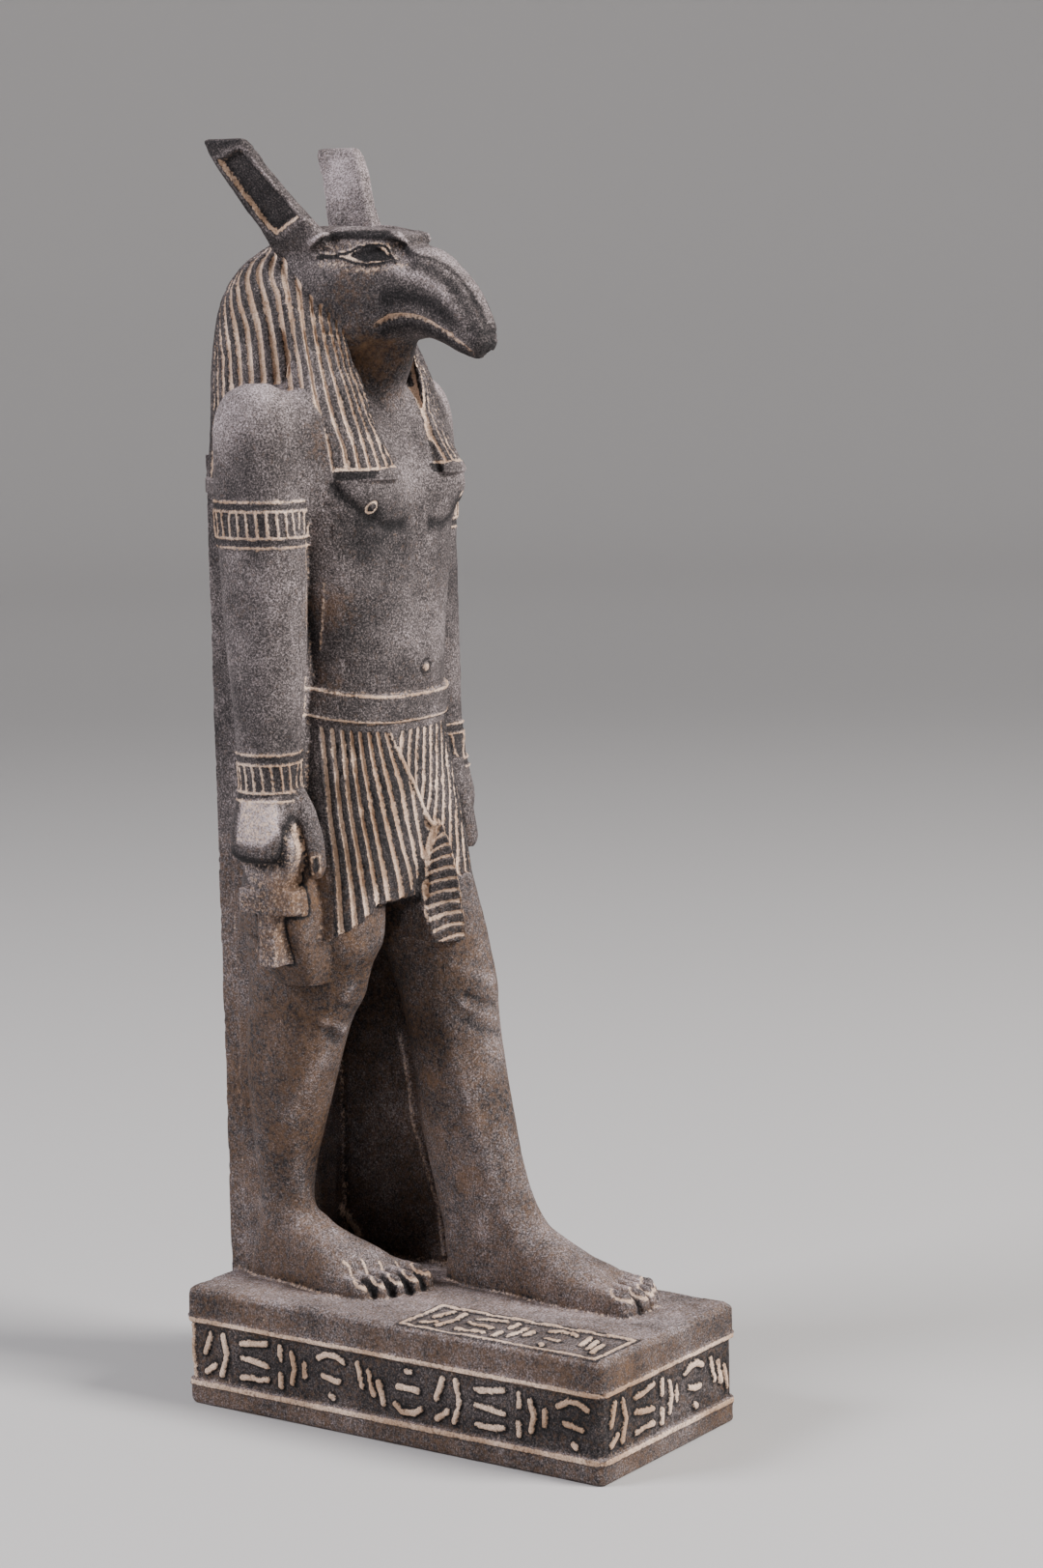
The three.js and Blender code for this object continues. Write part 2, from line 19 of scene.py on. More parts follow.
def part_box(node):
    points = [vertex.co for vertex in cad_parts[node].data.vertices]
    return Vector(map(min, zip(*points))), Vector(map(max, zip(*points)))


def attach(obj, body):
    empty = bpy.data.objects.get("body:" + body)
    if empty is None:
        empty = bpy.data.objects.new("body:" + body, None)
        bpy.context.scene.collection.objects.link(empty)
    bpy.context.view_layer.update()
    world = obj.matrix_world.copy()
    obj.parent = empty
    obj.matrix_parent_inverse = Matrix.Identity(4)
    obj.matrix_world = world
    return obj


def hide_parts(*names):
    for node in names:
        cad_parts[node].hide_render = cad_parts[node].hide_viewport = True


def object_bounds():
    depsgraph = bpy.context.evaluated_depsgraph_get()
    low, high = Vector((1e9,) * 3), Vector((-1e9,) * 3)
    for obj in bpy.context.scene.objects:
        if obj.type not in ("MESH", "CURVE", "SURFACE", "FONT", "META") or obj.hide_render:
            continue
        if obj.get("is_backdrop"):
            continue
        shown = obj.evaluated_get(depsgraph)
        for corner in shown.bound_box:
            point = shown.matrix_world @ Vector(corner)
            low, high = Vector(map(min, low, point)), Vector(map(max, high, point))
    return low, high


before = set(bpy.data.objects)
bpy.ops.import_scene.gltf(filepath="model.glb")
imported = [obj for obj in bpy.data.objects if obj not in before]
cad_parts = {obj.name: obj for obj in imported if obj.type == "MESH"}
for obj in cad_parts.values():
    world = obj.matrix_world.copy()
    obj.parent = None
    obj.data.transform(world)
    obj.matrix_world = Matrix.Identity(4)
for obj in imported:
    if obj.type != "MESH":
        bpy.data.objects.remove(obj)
CAD_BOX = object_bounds()

bl_info = {
    "name": "Striding Set statue",
    "version": (1, 0, 0),
    "blender": (4, 5, 0),
    "location": "View3D > Sidebar > Statue",
    "description": "Builds a carved stone statue with its back pillar and plinth",
    "category": "Object",
}

MM = 0.001
SEED_STEP = 31.7
LOW, HIGH = (np.array(corner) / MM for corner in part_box("statue"))

# Plinth, from the size of the solid
WIDTH = 80.0
LENGTH = HIGH[1] - LOW[1]
FLOOR = 40.0
ROOT = 10.0
PLINTH_EDGE = 1.6
BAND_TOP, BAND_BOTTOM, BAND_LINE = 30.0, 6.6, 1.7
BAND_RISE, BAND_SUNK = 0.6, 0.8
PANEL_X, PANEL_Y, PANEL_LINE, PANEL_RISE = (-37.5, -13.5), (-80.0, -4.0), 1.3, 0.5
SIGN_WIDE, SIDE_SIGNS, FRONT_SIGNS, PANEL_SIGNS = 2.0, 10, 5, 5
PILLAR_HALF, PILLAR_FRONT, PILLAR_BACK, PILLAR_TOP = 14.0, 60.0, 84.0, 316.0


# Numbers and curves

def bell(distance, width):
    """Bell curve: e to the minus square of distance over width."""
    return np.exp(-(distance / width) ** 2)


def ramp(value):
    """The value held between 0 and 1."""
    return np.clip(value, 0.0, 1.0)


def most(*values):
    """The largest of several values at each place."""
    return reduce(np.maximum, values)


def lengths(vectors):
    """Length of each row of a table of vectors."""
    return np.linalg.norm(vectors, axis=1)


def ease(value):
    """Smooth step from 0 to 1: 3v² - 2v³ of the value held between 0 and 1."""
    held = ramp(value)
    return held * held * (3 - 2 * held)


def signed_power(value, power):
    """The size of the value raised to the power, with its sign kept."""
    return np.sign(value) * np.abs(value) ** power


def between(rows, place):
    """Rows of numbers read as one smooth curve without overshoot.

    Place 1.5 lies between the second and the third row. It is a cubic whose slope at a
    row is the harmonic mean of the rises before and after it, or 0 at a turning point.
    """
    rows = np.asarray(rows, float)
    place = np.asarray(place, float)
    i = np.clip(np.floor(place).astype(int), 0, len(rows) - 2)
    f = (place - i)[..., None]
    rise = np.diff(rows, axis=0)
    product = rise[:-1] * rise[1:]
    total = rise[:-1] + rise[1:]
    inner = np.where(product > 0, 2 * product / np.where(total == 0, 1, total), 0)
    slope = np.vstack([rise[:1], inner, rise[-1:]])
    return (rows[i] + rise[i] * f * f * (3 - 2 * f)
            + f * (1 - f) * ((1 - f) * slope[i] - f * slope[i + 1]))


def at_height(rows, height):
    """The rows read at heights, where the first column falls from row to row."""
    rows = np.asarray(rows, float)
    return between(rows, np.interp(-height, -rows[:, 0], np.arange(len(rows))))


def places(rows, pitch):
    """Places along the rows, in even steps that move no number by more than the pitch."""
    rises = np.abs(np.diff(np.asarray(rows, float), axis=0)).max(axis=1)
    counts = most(np.ceil(rises / pitch), 1).astype(int)
    steps = [i + np.arange(count) / count for i, count in enumerate(counts)]
    return np.append(np.concatenate(steps), len(counts))


def curve_at(points, value):
    """Height of a smooth line through points (place, height) at the given places."""
    points = np.asarray(sorted(points), float)
    index = np.interp(value, points[:, 0], np.arange(len(points)))
    return between(points, index)[..., 1]


def mixed(cell, share, value):
    """A value of the eight corners of each cell, mixed by the share along each side."""
    total = np.zeros(len(cell))
    for corner in np.ndindex(2, 2, 2):
        weight = np.where(corner, share, 1 - share).prod(axis=1)
        total += weight * value(cell + corner)
    return total


def scattered(cell):
    """Number from 0 to 1 for each cell: a hash of its three whole numbers."""
    x, y, z = cell.T
    bits = (x * 73856093) ^ (y * 19349663) ^ (z * 83492791)
    bits = ((bits ^ (bits >> 13)) * 1274126177) & 0x7FFFFFFF
    return ((bits ^ (bits >> 16)) & 0xFFFF) / 65535


def noise(points, size, seed=0):
    """Smooth noise from 0 to 1: scattered numbers at the corners of cubes of that size.

    Inside a cube they are mixed by the smooth step of the place along each side. A seed
    moves the points by a step of its own.
    """
    place = points / size + SEED_STEP * seed
    cell = np.floor(place).astype(np.int64)
    share = place - cell
    return mixed(cell, share * share * (3 - 2 * share), scattered)


def layered(points, size, seed=0):
    """Noise with two finer layers, each at half the size and half the strength."""
    return sum(noise(points, size / 2 ** n, seed + n) / 2 ** n for n in range(3)) / 1.75


def furrow(phase, share, soft):
    """1 in the furrow around each whole number of the phase, 0 on the rib between.

    share is the part of each turn that the furrow takes, and soft that of its slopes.
    """
    away = np.abs(phase - np.round(phase)) * 2
    return ease((share - away) / soft + 0.5)


def line_distance(place, chain):
    """Shortest distance in a plane from places (n, 2) to a chain of points."""
    chain = np.asarray(chain, float)
    best = np.full(len(place), np.inf)
    for start, end in zip(chain[:-1], chain[1:]):
        along = end - start
        share = ramp(((place - start) @ along) / max(along @ along, 1e-9))
        best = np.minimum(best, lengths(place - start - share[:, None] * along))
    return best


def inside_distance(place, corners):
    """Distance from places (n, 2) in to the nearest side of a convex outline, below 0 outside."""
    corners = np.asarray(corners, float)
    middle = corners.mean(axis=0)
    best = np.full(len(place), np.inf)
    for start, end in zip(corners, np.roll(corners, -1, axis=0)):
        normal = np.array([start[1] - end[1], end[0] - start[0]])
        normal /= np.linalg.norm(normal)
        normal *= np.sign((middle - start) @ normal)
        best = np.minimum(best, (place - start) @ normal)
    return best


# Shells: a shell is its points and its faces with four corners

# Points round a wide shell
FINE = 300


def ring_walls(rows, sides):
    """Faces with four corners between each ring of points and the next."""
    first = np.arange(rows - 1)[:, None] * sides + np.arange(sides)
    second = np.arange(rows - 1)[:, None] * sides + (np.arange(sides) + 1) % sides
    return np.stack([first, second, second + sides, first + sides], axis=-1).reshape(-1, 4)


def skin(grid):
    """Closed shell over rings of points (rows, sides, 3), with a fan at each end."""
    rows, sides = grid.shape[:2]
    points = np.vstack([grid.reshape(-1, 3), grid[[0, -1]].mean(axis=1)])
    ends = []
    for level, middle in ((0, rows * sides), (rows - 1, rows * sides + 1)):
        edge = level * sides + np.arange(sides)
        turned = np.roll(edge, -1)
        ends.append(np.stack([edge, turned, np.full(sides, middle)], axis=-1))
    return points, ring_walls(rows, sides), np.vstack(ends)


def rings(centre, u, v, power, sides, turn=None, lift=None):
    """Rings of points: centre + a·u + b·v on superellipses.

    a and b are the cosine and the sine of the angle, raised to 2 / power with their
    signs kept: power 2 gives an ellipse and a large power a rectangle. turn adds to the
    angles of a ring, and lift(points) moves its points outwards.
    """
    angle = np.linspace(0, 2 * np.pi, sides, endpoint=False)
    angle = np.broadcast_to(angle, (len(centre), sides))
    if turn is not None:
        angle = angle + turn[:, None]
    a = signed_power(np.cos(angle), 2 / power[:, None])[..., None]
    b = signed_power(np.sin(angle), 2 / power[:, None])[..., None]
    points = centre[:, None] + a * u[:, None] + b * v[:, None]
    if lift is None:
        return points
    out = (a * u[:, None] / (u ** 2).sum(1)[:, None, None]
           + b * v[:, None] / (v ** 2).sum(1)[:, None, None])
    out /= np.linalg.norm(out, axis=-1, keepdims=True)
    return points + out * lift(points)[..., None]


def stack(*columns):
    """Columns of numbers, or single numbers, side by side as rows of three."""
    return np.stack(np.broadcast_arrays(*[np.asarray(c, float) for c in columns]), axis=-1)


def tower(rows, sides=160, pitch=1.0, lift=None, bend=None, turn=0.0):
    """Upright body over rows of height, middle x, half width, front y, back y, squareness.

    bend(points, level) moves the points, with level from 0 at the first row to 1 at the
    last, and turn is the angle by which the points wind round the body on the way.
    """
    place = places(rows, pitch)
    level = place / place[-1]
    z, x, half, front, back, power = between(rows, place).T
    grid = rings(stack(x, (front + back) / 2, z), stack(half, 0, 0),
                 stack(0, (back - front) / 2, 0), power, sides, turn * level, lift)
    return skin(grid if bend is None else bend(grid, level[:, None]))


def runner(rows, sides=120, pitch=1.0, skew=0.0):
    """Body along y over rows of y, middle x, half width, top z, bottom z, squareness.

    skew slants its front end: y changes by skew for each millimetre across.
    """
    place = places(rows, pitch)
    y, x, half, top, bottom, power = between(rows, place).T
    grid = rings(stack(x, y, (top + bottom) / 2), stack(half, 0, 0),
                 stack(0, 0, (top - bottom) / 2), power, sides)
    grid[..., 1] += skew * (grid[..., 0] - x[:, None]) * (place / place[-1])[:, None]
    return skin(grid)


def block(x0, x1, y0, y1, z0, z1):
    """Box between two corners."""
    outline = [(x0, y0), (x1, y0), (x1, y1), (x0, y1)]
    return skin(np.array([[(x, y, z) for x, y in outline] for z in (z0, z1)], float))


def mirrored(rows, side):
    """Rows with the middle x, their second number, on the given side."""
    return [(first, x * side, *rest) for first, x, *rest in rows]


# The figure's parts, in the places of the solid

HEAD = [
    (66, 378, 66, 346, 12, 2.3), (52, 386, 56, 338, 18, 2.5), (36, 386.5, 42, 336, 19.5, 2.6),
    (20, 386, 29, 341, 18.2, 2.5), (8, 384, 17, 348, 15.2, 2.4), (-1, 381.5, 8, 352.6, 12.3, 2.3),
    (-9, 376.5, 1, 353.6, 10, 2.3), (-15.4, 370.5, -5.5, 351.8, 8.5, 2.3),
    (-20.2, 363, -12, 348.8, 7, 2.3), (-23, 355.5, -17.2, 347.2, 5.4, 2.4),
    (-23, 351.5, -19.4, 347.8, 3, 2.3),
]
CROWN = [
    (56, 0, 13, 388.6, 370, 3), (40, 0, 16.4, 389.4, 372, 3), (26, 0, 15.6, 388.8, 375, 3.2),
    (14, 0, 13, 387.6, 379, 3.2), (8.4, 0, 9.6, 386.8, 381.6, 3), (5.4, 0, 5.6, 386.3, 382.6, 3),
]
NECK = [
    (362, 0, 12, 6, 58, 2.2), (352, 0, 13.5, 9, 60, 2.2), (343, 0, 14.5, 12.5, 60, 2.2),
    (334, 0, 16, 17, 62, 2.2), (322, 0, 18, 21, 62, 2.2),
]
NEAR_EAR = [
    (417.5, 31, 2.4, 49.6, 66.4, 6), (408, 27, 2.8, 44.6, 62.6, 6), (396, 21.4, 3, 36.8, 57, 6),
    (386, 16.6, 3.2, 29.6, 53, 5), (378, 10.6, 3.2, 27, 52, 4),
]
FAR_EAR = [
    (415, 29.6, 2.4, 50.8, 67.4, 6), (408, 26.6, 2.8, 46, 63.2, 6), (396, 21.2, 3, 39.2, 57, 6),
    (386, 16.6, 3.2, 33, 53, 5), (378, 10.6, 3.2, 30, 52, 4),
]
WIG = [
    (384, 0, 11, 48, 62, 2), (376, 0, 21.2, 41, 71.2, 2), (368, 0, 26, 35, 76.6, 2.05),
    (357, 0, 29, 27, 80, 2.1), (337, 0, 30.8, 22, 82.6, 2.1), (308, 0, 31, 34, 83.2, 2.15),
]
WIG_RIM = [(309, 0, 31.2, 40, 83.4, 2.1), (304.5, 0, 31.2, 40, 83.4, 2.1)]
LAPPET = [
    (379, 15, 48, 18, 53), (370, 17.2, 37, 24.4, 43), (357, 17, 23.2, 28.4, 32),
    (346, 16, 18.6, 31, 26.6), (336, 14.6, 16, 31.6, 22.8), (325, 13, 13.2, 31.8, 19.4),
    (312.6, 11.4, 10.4, 31.6, 16.6),
]
TRUNK = [
    (343, 0, 22, 27, 60, 2.3), (337, 0, 35, 19.6, 64, 2.5), (326, 0, 39, 14, 66, 2.5),
    (316, 0, 39, 11.2, 66, 2.5), (306, 0, 38, 9, 66, 2.5), (297, 0, 36.6, 8.6, 66, 2.6),
    (287, 0, 34.6, 8.4, 64, 2.7), (278, 0, 33, 8, 63, 2.6), (268, 0, 31, 8, 62, 2.5),
    (256, 0, 29, 7.8, 62, 2.4), (247, 0, 28.4, 7.8, 62, 2.3), (239, 0, 29.4, 9, 62, 2.3),
    (226, 0, 31, 11.5, 62, 2.3),
]
ARM = [
    (340.6, 41, 3.5, 36, 44, 2), (338, 41, 8, 31, 50, 2), (333, 41, 10.6, 27, 53.4, 2.1),
    (324, 41.2, 11.6, 25, 55, 2.2), (306, 41.2, 11.6, 24.4, 55, 2.3),
    (284, 41.2, 11.4, 24.6, 53.6, 2.3), (262, 41.4, 11, 25.2, 52.2, 2.3),
    (242, 41.8, 10.2, 26.6, 50.4, 2.2), (226, 42, 9.4, 28.4, 48.8, 2.2),
    (212, 42.2, 8.8, 29, 47.6, 2.2), (206, 42.4, 8.8, 28.4, 48, 2.3),
]
PALM = [
    (212, 42.6, 8.4, 29, 47.6, 2.4), (206, 43, 9, 28, 49, 2.6), (199, 43, 9.8, 27, 50.4, 3),
    (192, 43, 9.8, 28, 50.4, 3), (188.4, 42.6, 8.4, 30, 48.6, 2.6),
]
THUMB = [
    (212, 40, 4, 27, 36, 2.2), (203, 38.5, 4.4, 23.5, 34, 2.2), (194, 38, 4.2, 21.4, 30, 2.2),
    (186, 38.4, 3.6, 20.4, 27.4, 2.2), (182.6, 38.6, 2.2, 21.8, 26, 2.2),
]
RIGHT_PANEL = [
    (238, 0, 30.6, 9.6, 63, 2.3), (220, -2, 30.4, 9, 64, 2.3), (202, -4.8, 29.4, 8.4, 66, 2.3),
    (184, -7, 27.8, 9.2, 68, 2.6), (161, -10.4, 24.6, 12, 70, 2.8),
]
LEFT_PANEL = [
    (238, 0, 30.6, 9.8, 63, 2.3), (220, 4, 29.4, 8.8, 63, 2.3), (202, 9, 25.4, 7, 62, 2.3),
    (184, 14, 21.4, 5.6, 60, 2.2), (158, 16.6, 19.4, 3.2, 55, 2.2),
]
BELT = [(245, 0, 29.6, 6.6, 62.6, 2.3), (236, 0, 31.6, 8.2, 63.6, 2.3)]
APRON = [
    (196.4, 4.4, 5.6, 5.6, 5), (187, 2.6, 8.2, 8.4, 2.8), (173, 1, 10.6, 9, -0.2),
    (157.4, -0.4, 4.8, 9, -2.2),
]
RIGHT_LEG = [
    (178, -15, 18, 18, 68, 2.3), (160, -15, 16.8, 18.6, 68, 2.3), (149, -14.6, 15.2, 24.4, 68, 2.3),
    (140, -14.2, 14.2, 28.6, 68.6, 2.3), (129, -13.6, 13.6, 33.6, 70, 2.3),
    (114, -13, 13, 39.4, 71.4, 2.3), (96, -12, 11.8, 45.6, 71.6, 2.2),
    (80, -11.2, 9.4, 50.6, 71, 2.2), (68, -11, 8.2, 52.4, 70, 2.2), (58, -11, 8, 48.4, 71.6, 2.3),
    (FLOOR - ROOT, -11, 8, 42, 73, 2.4),
]
LEFT_LEG = [
    (178, 15, 16, 4, 54, 2.3), (160, 17, 15.6, 0.5, 44, 2.3), (149, 17.8, 14.6, -1.4, 36, 2.3),
    (140, 18.3, 14, -2.4, 31.6, 2.3), (129, 18.5, 13.6, -3.4, 28.6, 2.3),
    (114, 18.5, 12.8, -5.6, 26, 2.3), (96, 18.4, 11.8, -9.8, 24.6, 2.2),
    (80, 17.6, 10, -14.4, 21, 2.2), (68, 17, 9.1, -20, 18, 2.2), (58, 17, 9, -26, 15.6, 2.3),
    (FLOOR - ROOT, 17, 9, -28, 12, 2.4),
]
RIGHT_ARCH = [
    (74, -10.5, 5, 48, 30, 2.3), (70, -10.6, 7, 58, 30, 2.4), (58, -10.8, 8.2, 66, 30, 2.4),
    (44, -11.6, 10, 60, 30, 2.3), (35, -11, 12.2, 55.6, 30, 2.3), (27, -10.4, 13, 50.6, 30, 2.4),
    (25, -10.4, 12.4, 47, 30, 2.4),
]
LEFT_ARCH = [
    (14, 17, 4, 48, 30, 2.3), (8, 17, 7, 58, 30, 2.4), (-8, 16.6, 8.6, 67, 30, 2.4),
    (-24, 16.6, 11, 62, 30, 2.3), (-38, 17, 13.4, 54.5, 30, 2.3), (-49, 18, 13.8, 50, 30, 2.4),
    (-51.4, 18.4, 13, 47, 30, 2.4),
]
# Toes: middle x, tip y, length, half width, height
RIGHT_TOES = [
    (0.2, 10.6, 17, 3.6, 9), (-5.9, 11.2, 19, 2.9, 8.6), (-11.2, 13.6, 19, 2.7, 8.2),
    (-16.2, 17, 18, 2.6, 7.8), (-20.8, 21, 16, 2.5, 7.2),
]
LEFT_TOES = [
    (7.4, -65.4, 17, 4.2, 9), (14.6, -66, 18, 3.3, 8.4), (20.6, -64.6, 17, 3, 8),
    (25.8, -62, 16, 2.8, 7.6), (30.4, -58.6, 14, 2.6, 7.2),
]


def head_shell():
    """Snout and skull: leaning superellipses from the underside's line to the ridge's."""
    y1, z1, y0, z0, half, power = between(HEAD, places(HEAD, 0.8)).T
    return skin(rings(stack(0 * half, (y0 + y1) / 2, (z0 + z1) / 2), stack(half, 0, 0),
                      stack(0, (y1 - y0) / 2, (z1 - z0) / 2), power, 200))


# Guide lines of the wig's locks: numbers of the locks, then rows of height and the angles
# in degrees at which those locks lie there, round an upright axis, from the back forwards
WIG_AXIS_Y = 54.0
LOCK_NUMBERS = (-19, -9, -6, -3, 0, 2, 4)
LOCK_GUIDES = [
    (384, 0, 40, 62, 96, 140, 150, 157), (377, 0, 42, 66, 102, 138, 147, 154),
    (368, 0, 52, 79, 113.4, 136.3, 146, 153), (357, 0, 62, 92, 118.3, 136.1, 144.6, 151),
    (347, 0, 69.5, 95.4, 121.2, 137.3, 146.2, 151.4), (338, 0, 71, 97, 123, 138.7, 148.3, 154),
    (328, 0, 71, 98, 125, 141, 150.8, 157.5), (320, 0, 71, 98, 126, 143.6, 151.8, 159.5),
    (300, 0, 71, 98, 127, 144.8, 152.1, 159.5),
]


def numbered(angle, height, numbers, guides):
    """Number of the line at each angle and height, read between the guide lines.

    Between two guides the number rises evenly with the angle, and past the last ones it
    goes on at their pace.
    """
    lines = at_height(guides, height)[..., 1:]
    total = np.full(angle.shape, float(numbers[0]))
    last = len(numbers) - 2
    for k in range(last + 1):
        share = (angle - lines[..., k]) / (lines[..., k + 1] - lines[..., k])
        share = most(share, 0) if k > 0 else share
        share = np.minimum(share, 1) if k < last else share
        total += share * (numbers[k + 1] - numbers[k])
    return total


def lock_number(p):
    """Number of the wig's lock at each point, the same on both sides of the head."""
    angle = np.degrees(np.arctan2(np.abs(p[:, 0]), p[:, 1] - WIG_AXIS_Y))
    return numbered(angle, p[:, 2], LOCK_NUMBERS, LOCK_GUIDES)


def wig_shells():
    """The wig's fall and the plain rim below it."""
    return [tower(WIG, FINE), tower(WIG_RIM, FINE)]


CHEST_HEIGHT, CHEST_RISE, BELLY_RISE = 306, 6, 2


def muscles(x, y, z):
    """Chest, belly and breastbone as bells across and along the front of the trunk."""
    front = ramp((30 - y) / 14)
    spread = np.where(z < CHEST_HEIGHT, 8.5, 13)
    chest = CHEST_RISE * bell(np.abs(x) - 21, 11.5) * bell(z - CHEST_HEIGHT, spread)
    belly = BELLY_RISE * bell(x, 14) * bell(z - 252, 10)
    hollow = bell(x, 4) * bell(z - 280, 18)
    return front * (chest + belly - hollow)


def trunk_front(x, z):
    """y of the trunk's front at places across and up, from its superellipse."""
    _, _, half, front, back, power = np.moveaxis(at_height(TRUNK, z), -1, 0)
    depth = (back - front) / 2
    inner = 1 - np.abs(np.clip(x / half, -1, 1)) ** power
    y = front + depth - depth * inner ** (1 / power)
    return y - muscles(x, y, z)


# Heights of the shoulders and of the place where a lappet has left the chest, and how far
# its rims are rounded back
SHOULDER_HEIGHT, LAPPET_FREE, LAPPET_ROUND = 330, 345, 1.2


def lappet_shell(side, rows, rise):
    """One lappet: its front lies on the chest and leaves it towards the side of the wig.

    Across the front x and y run straight between the two edges of the row. On the chest
    y follows the trunk instead, and the rims are rounded off.
    """
    across = np.linspace(0, 1, 60)
    z, x0, y0, x1, y1 = (c[:, None] for c in between(rows, places(rows, 0.8)).T)
    x = x0 + (x1 - x0) * across
    plain = y0 + (y1 - y0) * across
    laid = np.minimum(trunk_front(x, np.minimum(z, SHOULDER_HEIGHT)) - rise, plain + 3)
    on_chest = ramp((LAPPET_FREE - z) / 16)
    y = plain + (laid - plain) * on_chest + LAPPET_ROUND * np.abs(across * 2 - 1) ** 10
    back = most(36, y1 + 8)
    return skin(np.concatenate([stack(side * x, y, z), stack(side * x1, back, z),
                                stack(side * x0, back, z)], axis=1))


LAPPET_LOW, LAPPET_BAND = 309.6, 313.0
LAPPET_RISE, LAPPET_BAND_RISE = 2.2, 2.9


def lappet_shells():
    """Both lappets, each with a thicker plain band at its end."""
    end = [(z, *LAPPET[-1][1:]) for z in (LAPPET_BAND, LAPPET_LOW)]
    return [lappet_shell(side, rows, rise) for side in (-1, 1)
            for rows, rise in ((LAPPET, LAPPET_RISE), (end, LAPPET_BAND_RISE))]


LEFT_ARM_CLOSER, LEFT_ARM_AHEAD = 1.2, 4.8


def hang(rows, side):
    """Rows of an arm on its side; the left one hangs a little forward and closer."""
    if side < 0:
        return mirrored(rows, side)
    moved = []
    for z, x, half, front, back, power in rows:
        closer = LEFT_ARM_CLOSER * ramp((z - 215) / 30)
        ahead = LEFT_ARM_AHEAD * ramp((270 - z) / 60)
        moved.append((z, x - closer, half, front - ahead, back - ahead, power))
    return moved


def arm_shells():
    """Arms, fists and thumbs on both sides."""
    return [tower(hang(rows, side), sides, 0.8) for side in (-1, 1)
            for rows, sides in ((ARM, 160), (PALM, 160), (THUMB, 90))]


ANKH_FACE, ANKH_BACK, ANKH_Y = -48.4, -40.0, 36.8
ANKH_BAR, ANKH_STEM = (26.6, 47.6, 171.8, 179.6), (33.7, 40.2, 154.6, 174)
# Half width, lowest and highest point of the loop
ANKH_LOOP = (11.4, 174.6, 206)


def drop(half, low, high, sides=80):
    """Outline of a drop: a sine across, and a cosine that falls slowly along its height."""
    angle = np.linspace(0, 2 * np.pi, sides, endpoint=False)
    level = (1 - np.cos(angle)) / 2
    y = half * np.sin(angle) * (0.55 + 0.9 * level * (1.3 - level))
    return np.stack([y, low + (high - low) * level], axis=-1)


def ankh_shells():
    """Bar, stem and loop, standing out from the stone beside the kilt."""
    bar = block(ANKH_FACE, ANKH_BACK, *ANKH_BAR)
    stem = block(ANKH_FACE, ANKH_BACK, *ANKH_STEM)
    outer = drop(*ANKH_LOOP)
    face = ANKH_FACE + 0.4
    plate = [np.column_stack([np.full(len(outer), x), ANKH_Y + outer[:, 0], outer[:, 1]])
             for x in (face, ANKH_BACK)]
    return [bar, stem, skin(np.stack(plate))]


BELT_DIP = 5


def dip(points):
    """How far the belt and the kilt's top hang lower towards the front."""
    return -BELT_DIP * ramp((40 - points[..., 1]) / 30)


PANEL_TURN = 0.24


def panel_shell(rows, rise, reach, turn):
    """One panel of the kilt: its hem rises by the reach of x to the peak at the front."""
    def bend(points, level):
        moved = points.copy()
        up = rise * ramp(reach(points[..., 0])) * ramp((45 - points[..., 1]) / 15)
        moved[..., 2] += dip(points) * (1 - level) + up * level
        return moved
    return tower(rows, FINE, 0.8, None, bend, turn)


def panel_shells():
    """Both panels of the kilt, wound against each other."""
    return [panel_shell(RIGHT_PANEL, 11.5, lambda x: (x + 34) / 15, PANEL_TURN),
            panel_shell(LEFT_PANEL, 14, lambda x: (12 - x) / 12, -PANEL_TURN)]


def belt_shell():
    """Belt, a plain band round the waist that dips with the kilt."""
    def bend(points, level):
        moved = points.copy()
        moved[..., 2] += dip(points)
        return moved
    return tower(BELT, FINE, 0.5, bend=bend)


APRON_THICK = 14


def apron_shell():
    """Apron: a slab between the two edges of each row, with its sides rounded off."""
    z, x0, y0, x1, y1 = (c[:, None] for c in between(APRON, places(APRON, 0.4)).T)
    across = np.linspace(0, 1, 50)
    x = x0 + (x1 - x0) * across
    y = y0 + (y1 - y0) * across + 0.9 * np.abs(across * 2 - 1) ** 8
    return skin(np.concatenate([stack(x, y, z), stack(x1, y1 + APRON_THICK, z),
                                stack(x0, y0 + APRON_THICK, z)], axis=1))


KNEE_HEIGHT, KNEE_RISE = 140, 1.8


def knee(middle, front):
    """Kneecap on a leg: a bell across and up on its front."""
    def lift(points):
        x, y, z = np.moveaxis(points, -1, 0)
        bulge = KNEE_RISE * bell(x - middle, 8) * bell(z - KNEE_HEIGHT, 7)
        return bulge * ramp((front + 12 - y) / 8)
    return lift


def leg_shells():
    """Both legs with their kneecaps."""
    return [tower(RIGHT_LEG, 240, 1.0, knee(-11, 28)), tower(LEFT_LEG, 240, 1.0, knee(17, -2))]


def toe_shell(x, tip, length, half, rise):
    """One toe along y, thinning to a round tip."""
    shape = ((1, 0.9, 1), (0.3, 1, 0.84), (0.12, 0.94, 0.72), (0.03, 0.7, 0.5), (0, 0.4, 0.2))
    return runner([(tip + length * s, x, half * w, FLOOR + rise * h, FLOOR - rise, 2.3)
                   for s, w, h in shape], 60, 0.6)


def foot_shells():
    """Arches and toes of both feet."""
    arches = [runner(RIGHT_ARCH, 160, 1, -0.5), runner(LEFT_ARCH, 160, 1, 0.3)]
    return arches + [toe_shell(*toe) for toe in RIGHT_TOES + LEFT_TOES]


